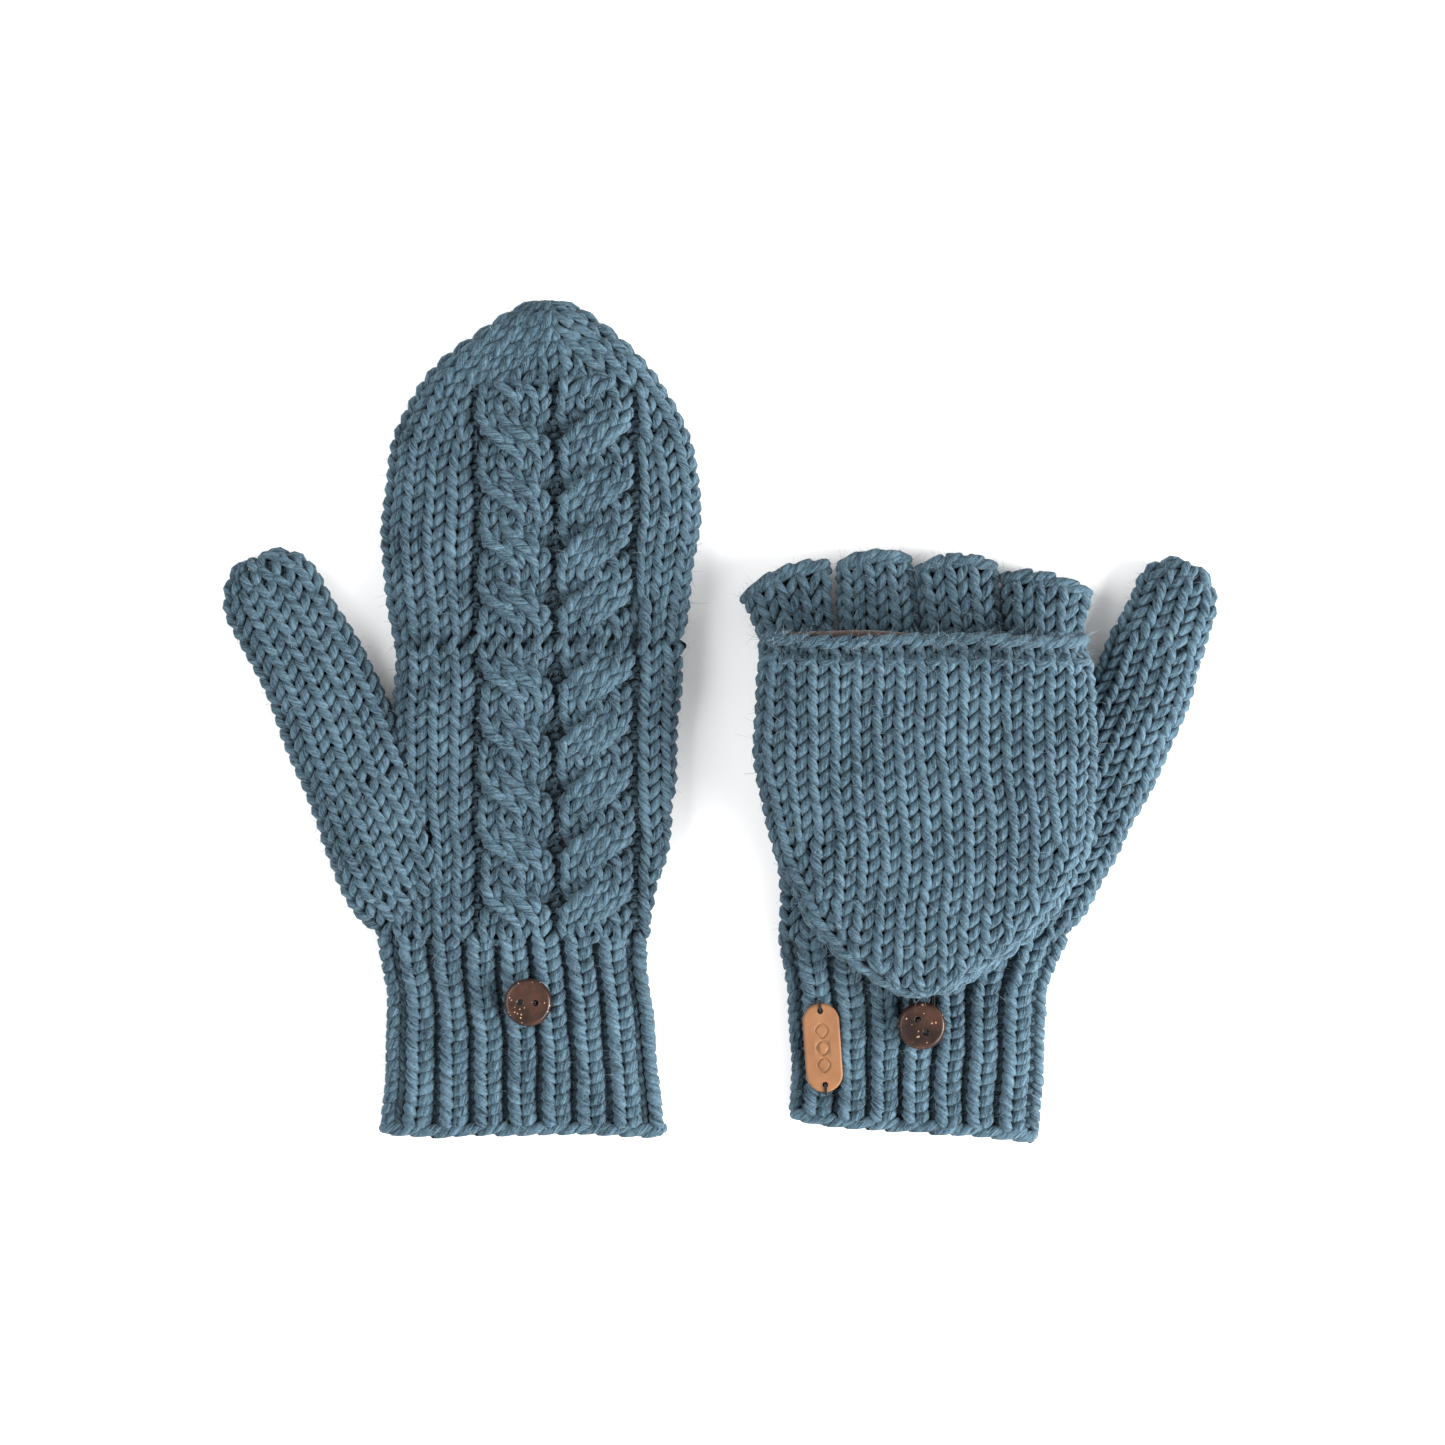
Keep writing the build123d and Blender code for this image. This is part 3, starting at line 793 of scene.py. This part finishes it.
def finger_surface(name):
    """A finger tube between its two end rings."""
    points = node_points(name)
    is_base = points[:, 1] < points[:, 1].min() + 0.01
    base, tip = points[is_base], points[~is_base]
    base_middle, tip_middle = ((ring.min(0) + ring.max(0)) / 2 for ring in (base, tip))
    along = tip_middle - base_middle
    place = Place(rotation("Z", -np.degrees(atan2(along[0], along[1]))), (*base_middle[:2], 0))
    ends = [place.back(ring) for ring in (base, tip)]
    slope = np.polyfit(ends[1][:, 0], ends[1][:, 1], 1)[0]
    low, high = points[:, 2].min() - 0.6, points[:, 2].max() + 0.6
    long = np.hypot(along[0], along[1])
    halves = [(ring[:, 0].max() - ring[:, 0].min()) / 2 for ring in ends]
    steps = np.linspace(0, 1, 24)
    half = halves[0] + (halves[1] - halves[0]) * steps
    rows = [(s * long, -h, h, low, high) for s, h in zip(steps, half)]
    return Tube(rows, SOFT_FINGER, place, crown=4.0, skew=slope)


# ---- knitted pieces ----


def rows_between(first, last, row=ROW):
    count = max(1, round((last - first) / row))
    return first + (np.arange(count) + 0.5) * (last - first) / count


def make_cuff(m, body):
    """A one-by-one rib above a cast-on edge."""
    side = m["side"]
    piece = Knitting(f"{side}_cuff_knit", yarn=RIB_YARN)
    top = box_of(f"{side}_cuff")[1][1] - body.height[0]
    ribs = round(body.around(top / 2) / RIB)
    shares = np.concatenate([[0], np.cumsum(np.tile([RIB_KNIT_SHARE, 1 - RIB_KNIT_SHARE], ribs))]) / ribs

    def edges(v):
        return (shares[None, :] - RIB_KNIT_SHARE / ribs / 2) * body.around(v)[:, None]

    rows = rows_between(2.2, top, RIB_ROW)
    knit(piece, body, rows, edges, purl=lambda row: np.arange(2 * ribs) % 2 == 1, sink=RIB_SINK)
    round_way = body.around(1.5)
    chain(piece, lambda along, across, out: body.at(along / round_way, 1.4 + across, out - 0.2), round_way)
    piece.backing(body, ALL_ROUND, (1.0, top))
    piece.finish(f"{side}_mitten", f"{side}_cuff", FUZZ_WIDE)


def panel_edges(tube, m):
    """Where the middle of the cable panel is, round the tube."""

    def middle(v):
        return m["panel_x"] - tube.place.origin[0] - np.interp(v, tube.v, tube.middle)

    return middle


def knit_panel(piece, tube, rows, middle):
    """The cable panel: two mirrored cables between three purl columns."""
    for column in (-1, 0, 1):
        offset = column * (CABLE + PANEL_PURL) - PANEL_PURL / 2

        def purl_edges(v, offset=offset):
            return middle(v)[:, None] + offset + np.array([-0.6, PANEL_PURL + 0.6])[None, :]

        knit(piece, tube, rows, purl_edges, purl=lambda row: True)
    for hand in (1, -1):
        offset = -hand * (CABLE + PANEL_PURL) / 2
        cable(piece, tube, rows, lambda v, offset=offset: middle(v) + offset, hand)


def make_hand(m, body, thumb):
    """Stockinette round a cable panel on the back."""
    side = m["side"]
    piece = Knitting(f"{side}_hand_knit")
    start = box_of(f"{side}_cuff")[1][1] - body.height[0]
    rows = rows_between(start, body.length + 0.3)
    middle = panel_edges(body, m)
    columns = round((body.around(body.length * 0.7) - 2 * PANEL_HALF) / STITCH)

    def edges(v):
        free = body.around(v) - 2 * PANEL_HALF
        return middle(v)[:, None] + PANEL_HALF + np.linspace(0, 1, columns + 1)[None, :] * free[:, None]

    knit(piece, body, rows, edges, hidden=(thumb,))
    knit_panel(piece, body, rows, middle)
    piece.backing(body, ALL_ROUND, (start, body.length))
    piece.finish(f"{side}_mitten", f"{side}_hand", FUZZ_WIDE)


def half_edges(tube, offset, follow):
    """Column edges of one face of a tube: the outer columns follow its side, the others stand straight
    and are decreased away against them. follow is how many do so at the left and at the right."""
    reach = int(tube.rounds.max() / 4 / STITCH) + 2
    straight = np.arange(-reach, reach + 1) * STITCH + offset

    def edges(v):
        quarter, here = tube.around(v)[:, None] / 4, tube.around(v.mean()) / 4
        wide = min(STITCH, 2 * here / (sum(follow) + 1))
        low, high = -here + follow[0] * wide, here - follow[1] * wide
        room = LEAST_STITCH * STITCH
        kept = straight[(straight > low + room) & (straight < high - room)]
        first, last = -quarter + follow[0] * wide, quarter - follow[1] * wide
        inner = np.clip(np.broadcast_to(kept, (len(v), len(kept))), first, last)
        left = -quarter + np.arange(follow[0] + 1)[None, :] * wide
        right = quarter - np.arange(follow[1], -1, -1)[None, :] * wide
        return np.concatenate([left, inner, right], axis=1)

    return edges


def even_edges(tube):
    """Column edges of one face of a tube, spread evenly."""

    def edges(v):
        quarter = tube.around(v)[:, None] / 4
        count = max(2, round(tube.around(v.mean()) / 2 / STITCH))
        return quarter * np.linspace(-1, 1, count + 1)[None, :]

    return edges


def side_edges(tube, middle, way):
    """Column edges between the cable panel and one side of the flap, whose shape they follow."""

    def edges(v):
        near, far = middle(v) + way * PANEL_HALF, way * tube.around(v) / 4
        count = int(abs(far - near).mean() / STITCH + 1 - LEAST_STITCH)
        spots = [far - way * STITCH * step for step in range(max(count, 1))] + [near]
        return np.stack(spots[::-1] if way > 0 else spots, axis=1)

    return edges


def make_flap_back(m, flap):
    """The flap's back: the cable panel between columns that follow the flap's rounded sides."""
    side = m["side"]
    piece = Knitting(f"{side}_flap_back_knit")
    middle = panel_edges(flap, m)
    heights = np.linspace(0, flap.length, 300)
    panel_end = heights[flap.around(heights) / 4 > PANEL_HALF + PANEL_SPARE][-1]
    rows = rows_between(0.4, flap.length - 1.0)
    low_rows, high_rows = rows[rows < panel_end], rows[rows >= panel_end]
    for way in (-1, 1):
        knit(piece, flap, low_rows, side_edges(flap, middle, way))
    knit_panel(piece, flap, low_rows, middle)
    knit(piece, flap, high_rows, half_edges(flap, middle(np.array([0.0]))[0], (4, 3)))
    piece.backing(flap, BACK_HALF, (0.8, flap.length))
    piece.finish(f"{side}_flap", f"{side}_flap_back", FUZZ_WIDE)


def turned(tube, edges):
    """The same columns on the other face of the tube."""
    return lambda v: edges(v) + tube.around(v)[:, None] / 2


def make_flap_palm(m, flap):
    """The flap's palm: a row of garter bumps at the mouth, then stockinette whose inner columns are decreased
    away against its sides.
    """
    side = m["side"]
    piece = Knitting(f"{side}_flap_palm_knit")
    start = mouth_end(m, flap)
    edges = turned(flap, half_edges(flap, 0.0, (1, 1)))
    rows = rows_between(start, flap.length - 1.0)
    knit(piece, flap, rows[:1], edges, purl=lambda row: True, sink=-0.3)
    knit(piece, flap, rows[1:], edges)
    piece.backing(flap, PALM_HALF, (start - 1.0, flap.length))
    piece.finish(f"{side}_flap", f"{side}_flap_palm", FUZZ_WIDE)


def mouth_end(m, flap):
    """How far up the flap its bound-off edge ends."""
    points = flap.place.back(node_points(f"{m['side']}_flap_edge"))
    return points[:, 1].max() - flap.height[0] - MOUTH_REACH


def make_flap_edge(m, flap):
    """The bound-off edge of the flap's mouth, a plump chain."""
    side = m["side"]
    piece = Knitting(f"{side}_flap_edge_knit")
    end = mouth_end(m, flap)
    middle = (end - MOUTH_REACH) / 2
    round_way = flap.around(0.0)

    def spot(along, across, out):
        return flap.at(PALM_HALF[0] + along / round_way, middle + across, out + 0.6)

    chain(piece, spot, round_way / 2)
    piece.backing(flap, PALM_HALF, (0.6 - MOUTH_REACH, end), outer=-0.6)
    piece.finish(f"{side}_flap", f"{side}_flap_edge", FUZZ_EDGE)


def make_thumb(m, thumb, body):
    """The full thumb, knitted in the round and decreased at both sides of its tip."""
    side = m["side"]
    piece = Knitting(f"{side}_thumb_knit")
    rows = rows_between(2.0, thumb.length - 1.5)
    for half in (even_edges(thumb), turned(thumb, even_edges(thumb))):
        knit(piece, thumb, rows, half, hidden=(body,))
    piece.backing(thumb, ALL_ROUND, (thumb.length * THUMB_ON_HAND, thumb.length))
    piece.finish(f"{side}_mitten", f"{side}_thumb", FUZZ_THUMB)


def make_finger(m, name):
    """An open finger tube with a bound-off end."""
    side = m["side"]
    tube = finger_surface(f"{side}_{name}")
    piece = Knitting(f"{side}_{name}_knit")
    columns = round(tube.around(tube.length / 2) / STITCH)
    share = np.arange(columns + 1) / columns + 0.5 / columns

    def edges(v):
        return share[None, :] * tube.around(v)[:, None]

    knit(piece, tube, rows_between(-1.5, tube.length - 2.4), edges)
    round_way = tube.around(tube.length)
    chain(piece, lambda al, ac, out: tube.at(al / round_way, tube.length - 1.2 + ac, out + 0.2), round_way)
    piece.backing(tube, ALL_ROUND, (0, tube.length - 1.0))
    obj = piece.finish(f"{side}_mitten", f"{side}_{name}", FUZZ_FINGER)
    if m["flipped"]:
        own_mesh(obj)


def make_seam(m):
    """Overcast stitches that join the flap to the back of the hand."""
    side = m["side"]
    piece = Knitting(f"{side}_flap_seam_knit")
    low, high = box_of(f"{side}_flap_seam")
    middle, top = (low + high) / 2, high[2] - SEAM_TALL
    first, last = low[0] + 2.0, high[0] - 2.0
    count = round((last - first) / STITCH)
    t = np.arange(LOOP_STEPS) / LOOP_STEPS * tau
    for number in range(count):
        x = first + (number + 0.5) * (last - first) / count + piece.random.normal(0, 0.3)
        y, z = middle[1] + SEAM_LONG * np.cos(t), top + SEAM_TALL * np.sin(t)
        points = np.stack([x + SEAM_WIDE * np.cos(t), y, z], 1)
        radius = YARN_R * (0.85 - 0.1 * np.cos(2 * t))
        piece.thread(wobble(points), radius, (0.0, 0.0, 1.0), closed=True)
    piece.finish(f"{side}_mitten", f"{side}_flap_seam")


def make_lining(m):
    """The flap's fleece lining, two soft layers that meet round the tip. On the folded flap it stands a
    little proud of the mouth near the little finger."""
    side = m["side"]
    outer, inner = (flap_surface(m, inset=LINING_INSET + more) for more in (0.0, LINING_THICK))
    points = []
    wide, deep = 160, 90
    share = np.linspace(0, 1, wide + 1)[None, :]
    for tube in (outer, inner):
        palm = np.exp(-(((share - 0.5) * 2.0) ** 8))
        peek = np.exp(-(((share - 0.5 - LIP_AT) / LIP_WIDE) ** 2))
        lip = LINING_REACH * palm + LIP * peek * m["flipped"] + MOUTH_REACH * palm
        rise = np.linspace(0, 1, deep + 1)[:, None]
        v = 1.5 - lip + (tube.length - 0.5 - 1.5 + lip) * rise
        points.append(tube.at(share + np.zeros_like(v), v, np.zeros_like(v))[0].reshape(-1, 3))
    sheet = grid_quads(deep, wide)
    count = len(points[0])
    faces = np.concatenate([sheet, sheet[:, ::-1] + count, rim_quads(np.arange(wide), count)])
    parts = [(np.concatenate(points), faces, np.zeros((faces.size, 2)), 0, np.zeros(2 * count))]
    obj = mesh_object(f"{side}_lining_fleece", parts, (fleece,))
    settle(obj, f"{side}_flap", f"{side}_flap_lining")


def rounded(corners, radii, steps=8):
    """A route through corners, each rounded by its own radius."""
    corners = [np.array(corner, float) for corner in corners]
    route = [corners[0]]
    for before, corner, after, radius in zip(corners, corners[1:], corners[2:], radii):
        back, on = before - corner, after - corner
        back, on = back / np.linalg.norm(back), on / np.linalg.norm(on)
        bend = np.arccos(np.clip(-back @ on, -1, 1))
        cut = radius * np.tan(bend / 2)
        centre = corner + (back + on) / np.linalg.norm(back + on) * radius / np.cos(bend / 2)
        start, end = corner + back * cut - centre, corner + on * cut - centre
        for share in np.linspace(0, 1, steps):
            turn = (np.sin((1 - share) * bend) * start + np.sin(share * bend) * end) / np.sin(bend)
            route.append(centre + turn)
    return np.array(route + [corners[-1]])


def loop_route(m):
    """The button loop's line, as the CAD has it: hanging free, or down and round the button's thread."""
    side = m["side"]
    low, high = box_of(f"{side}_button_loop")
    middle, w = (low[0] + high[0]) / 2, (high[0] - low[0]) / 2 - LOOP_R
    tip = TIP_PULL if m["flipped"] else -TIP_PULL
    near, far, bottom, top = high[1] - LOOP_R + tip, low[1] + LOOP_R, low[2] + LOOP_R, high[2]
    if m["flipped"]:
        half = [(w, near, top), (w, near, bottom), (w, far + w, bottom), (0, far, bottom)]
        radii = [2.0, 2.4, 1.6, 2.4, 2.0]
    else:
        half = [(w, near, top), (w, near, bottom)]
        radii = [2.4, 2.4]
    other = [(-x, y, z) for x, y, z in reversed(half[:-1] if m["flipped"] else half)]
    return rounded([(middle + x, y, z) for x, y, z in half + other], radii)


def make_button_loop(m):
    """A covered elastic cord, sewn to the flap's tip at both ends."""
    side = m["side"]
    piece = Knitting(f"{side}_loop_elastic")
    route = loop_route(m)
    run = distances(route)
    fine = np.linspace(0, run[-1], 120)
    points = np.stack([np.interp(fine, run, route[:, i]) for i in range(3)], 1)
    piece.thread(points, LOOP_R, (0.1, 0.2, 1.0))
    obj = mesh_object(piece.name, piece.parts, (elastic,))
    settle(obj, f"{side}_button_loop", f"{side}_button_loop")


def cut_holes(obj, places, radius, tall):
    """Drills round holes through obj with a boolean modifier, and applies it."""
    for place in places:
        bpy.ops.mesh.primitive_cylinder_add(
            vertices=32, radius=radius * MM, depth=tall * MM, location=np.array(place) * MM
        )
        cut_away(obj, bpy.context.object)


def cut_away(obj, cutter):
    cut = obj.modifiers.new("cut", "BOOLEAN")
    cut.operation, cut.object, cut.solver = "DIFFERENCE", cutter, "EXACT"
    bpy.context.view_layer.objects.active = obj
    bpy.ops.object.modifier_apply(modifier=cut.name)
    bpy.data.objects.remove(cutter)


def plate(name, outline, rise, rings, around, foot, material):
    """A thin shaped disc. outline gives its edge, and rise the height of its top over foot."""
    turn = np.arange(around) / around * tau
    edge = outline(turn)
    share = np.sin(np.linspace(0, pi / 2, rings + 1))[1:]
    top = [np.concatenate([edge * s, rise(edge * s, s)[:, None]], 1) for s in share]
    under = [np.concatenate([edge * s, np.zeros((around, 1))], 1) for s in (share[-3] * 0.995, share[0])]
    side = [np.concatenate([edge * 1.002, np.full((around, 1), 0.45)], 1)]
    loops = np.array(top + side + under)
    points = loops.reshape(-1, 3) + foot
    first = np.arange(around)
    faces = [*ring_quads(len(loops), around), first, ((len(loops) - 1) * around + first)[::-1]]
    mesh = bpy.data.meshes.new(name)
    mesh.from_pydata((points * MM).tolist(), [], [tuple(map(int, face)) for face in faces])
    mesh.materials.append(material)
    mesh.shade_smooth()
    return add_object(name, mesh)


def make_button(m):
    """A polished coconut-shell button, slightly hollow, bent a little like the shell it was cut from."""
    side = m["side"]
    low, high = box_of(f"{side}_button")
    foot = np.array([*((low + high) / 2)[:2], low[2]])
    radius, thick = (high[0] - low[0]) / 2, high[2] - low[2]
    grain = radians(m["button_turn"])

    def rise(spots, share):
        across = spots @ np.array([cos(grain), sin(grain)]) / radius
        dish = -BUTTON_DISH * (1 - min(share / 0.8, 1) ** 2)
        rim = -BUTTON_ROUND * max(0.0, (share - 0.86) / 0.14) ** 2.2
        return thick + dish + rim - BUTTON_BEND * across**2

    obj = plate(
        f"{side}_coconut_button",
        lambda turn: radius * np.stack([np.cos(turn), np.sin(turn)], 1),
        rise, 24, 96, foot, coconut,
    )
    holes = [foot + way * BUTTON_HOLE_APART / 2 * np.array([cos(grain), sin(grain), 0]) for way in (-1, 1)]
    cut_holes(obj, holes, BUTTON_HOLE_R, 12)
    settle(obj, f"{side}_button", f"{side}_button")
    make_button_thread(m, holes, low[2], thick)


def make_button_thread(m, holes, bottom, thick):
    """Dark thread: down each hole, low across the dish between them, and wound into a shank below."""
    side = m["side"]
    piece = Knitting(f"{side}_button_sewing")
    first, second = holes
    foot = box_of(f"{side}_button_thread")[0][2]
    middle = (first + second) / 2
    top = bottom + thick - 0.75
    sideways = np.cross((second - first) / np.linalg.norm(second - first), [0, 0, 1])
    for shift in (-0.3, 0.3):
        end = np.array([*middle[:2], foot])
        down, up = np.array([0, 0, bottom - 0.3]), np.array([0, 0, top])
        flat_first, flat_second = first * [1, 1, 0], second * [1, 1, 0]
        corners = [end, flat_first + down, flat_first + up, flat_second + up, flat_second + down, end]
        route = rounded([corner + shift * sideways for corner in corners], [0.3, 0.3, 0.3, 0.3], steps=5)
        piece.thread(route, SEWING_R, sideways)
    t = np.linspace(0, 1, 120)
    round_way, rise = t * tau * SHANK_TURNS, foot + 0.3 + (bottom - foot - 0.6) * t
    wind = np.stack([SHANK_R * np.cos(round_way), SHANK_R * np.sin(round_way), rise], 1)
    wind[:, :2] += middle[:2]
    piece.thread(wind, WINDING_R, (0.2, 0.1, 1.0))
    obj = mesh_object(piece.name, piece.parts, (sewing,))
    settle(obj, f"{side}_button", f"{side}_button_thread")


def make_label(m):
    """A leather label with three debossed diamonds, sewn on through two holes."""
    low, high = box_of("left_label")
    place = Matrix.Rotation(radians(LABEL_TURN), 3, "Z")
    middle = (low + high) / 2
    half_long, half_wide = LABEL_LONG / 2, LABEL_WIDE / 2

    def outline(turn):
        x, y = half_wide * np.cos(turn), half_wide * np.sin(turn)
        return np.stack([x, y + np.sign(y) * (half_long - half_wide)], 1)

    def rise(spots, share):
        room = half_wide - np.hypot(spots[:, 0], np.maximum(np.abs(spots[:, 1]) - (half_long - half_wide), 0))
        edge = np.clip(1 - room / LABEL_EDGE, 0, 1)
        return LABEL_THICK - LABEL_ROUND * edge**2

    obj = plate("left_leather_label", outline, rise, 30, 240, np.zeros(3), leather)
    cut_holes(obj, [(0, way * LABEL_HOLES / 2, 0) for way in (-1, 1)], LABEL_HOLE_R, 6)
    t = np.arange(48) / 48 * tau
    for number in (-1, 0, 1):
        mark = Knitting("mark")
        stretch = (np.abs(np.cos(t)) ** 1.5 + np.abs(np.sin(t)) ** 1.5) ** (-1 / 1.5)
        x = DIAMOND_WIDE * stretch * np.cos(t)
        y = DIAMOND_APART * number + DIAMOND_TALL * stretch * np.sin(t)
        points = np.stack([x, y, np.full(48, LABEL_THICK + 0.1)], 1)
        mark.thread(points, DIAMOND_LINE, (0.0, 0.0, 1.0), closed=True)
        cutter = mesh_object("mark", mark.parts, (leather,))
        whole = bmesh.new()
        whole.from_mesh(cutter.data)
        bmesh.ops.remove_doubles(whole, verts=whole.verts, dist=0.02 * MM)
        whole.to_mesh(cutter.data)
        whole.free()
        cut_away(obj, cutter)
    turn = np.array(place @ Matrix.Rotation(radians(LABEL_TILT), 3, "X"))
    foot = np.array([middle[0], middle[1], high[2] - LABEL_THICK - 0.1]) * MM
    points = vertices(obj.data) @ turn.T + foot
    obj.data.vertices.foreach_set("co", points.ravel())
    obj.data.update()
    settle(obj, "left_mitten", "left_label")
    stitches = frame["nodes"]["left_label_stitches"].data.materials
    stitches.clear()
    stitches.append(sewing)


for mitten in MITTENS:
    make_lining(mitten)
    make_button_loop(mitten)
    make_button(mitten)
make_label(MITTENS[1])

for mitten in MITTENS:
    body = body_surface(mitten)
    thumb = thumb_surface(mitten)
    flap = flap_surface(mitten)
    make_cuff(mitten, body)
    make_hand(mitten, body, thumb)
    make_thumb(mitten, thumb, body)
    make_flap_back(mitten, flap)
    make_flap_palm(mitten, flap)
    make_flap_edge(mitten, flap)
    make_seam(mitten)
    for finger in FINGERS:
        make_finger(mitten, finger)


# ---- stage ----

CAMERA_LENS, CAMERA_SENSOR = 100.0, 36.0
CAMERA_HEIGHT = 1.284
CAMERA_AT = (0.0, 0.0)
SKY_LIGHT = 0.78


def make_stage():
    bpy.ops.mesh.primitive_plane_add(size=30, location=(0, 0, -0.0002))
    floor = bpy.context.object
    floor.name = "floor"
    paper = make_speckled(
        "paper", 3.0, 0.3, 0.7, (0.94, 0.94, 0.94), (0.96, 0.96, 0.96),
        Roughness=0.9, Specular_IOR_Level=0.1,
    )
    floor.data.materials.append(paper)


def make_light(name, place, size, energy):
    light = bpy.data.lights.new(name, "AREA")
    light.size = size
    light.energy = energy
    obj = add_object(name, light)
    obj.location = place
    obj.rotation_euler = (-Vector(place)).to_track_quat("-Z", "Y").to_euler()


def make_camera():
    camera = bpy.data.cameras.new("camera")
    camera.lens, camera.sensor_width = CAMERA_LENS, CAMERA_SENSOR
    obj = add_object("camera", camera)
    obj.location = (*CAMERA_AT, CAMERA_HEIGHT)
    bpy.context.scene.camera = obj


def make_world():
    world = bpy.data.worlds.new("studio")
    world.use_nodes = True
    sky = world.node_tree.nodes["Background"].inputs
    sky["Color"].default_value = (1, 1, 1, 1)
    sky["Strength"].default_value = SKY_LIGHT
    bpy.context.scene.world = world


make_stage()
make_light("key", (1.4, -0.8, 1.0), 1.4, 72)
make_light("rim", (1.3, -0.25, 0.42), 0.7, 30)
make_light("fill", (-1.2, 0.1, 1.3), 1.2, 25)
make_camera()
make_world()
bpy.context.scene.view_settings.view_transform = "Standard"
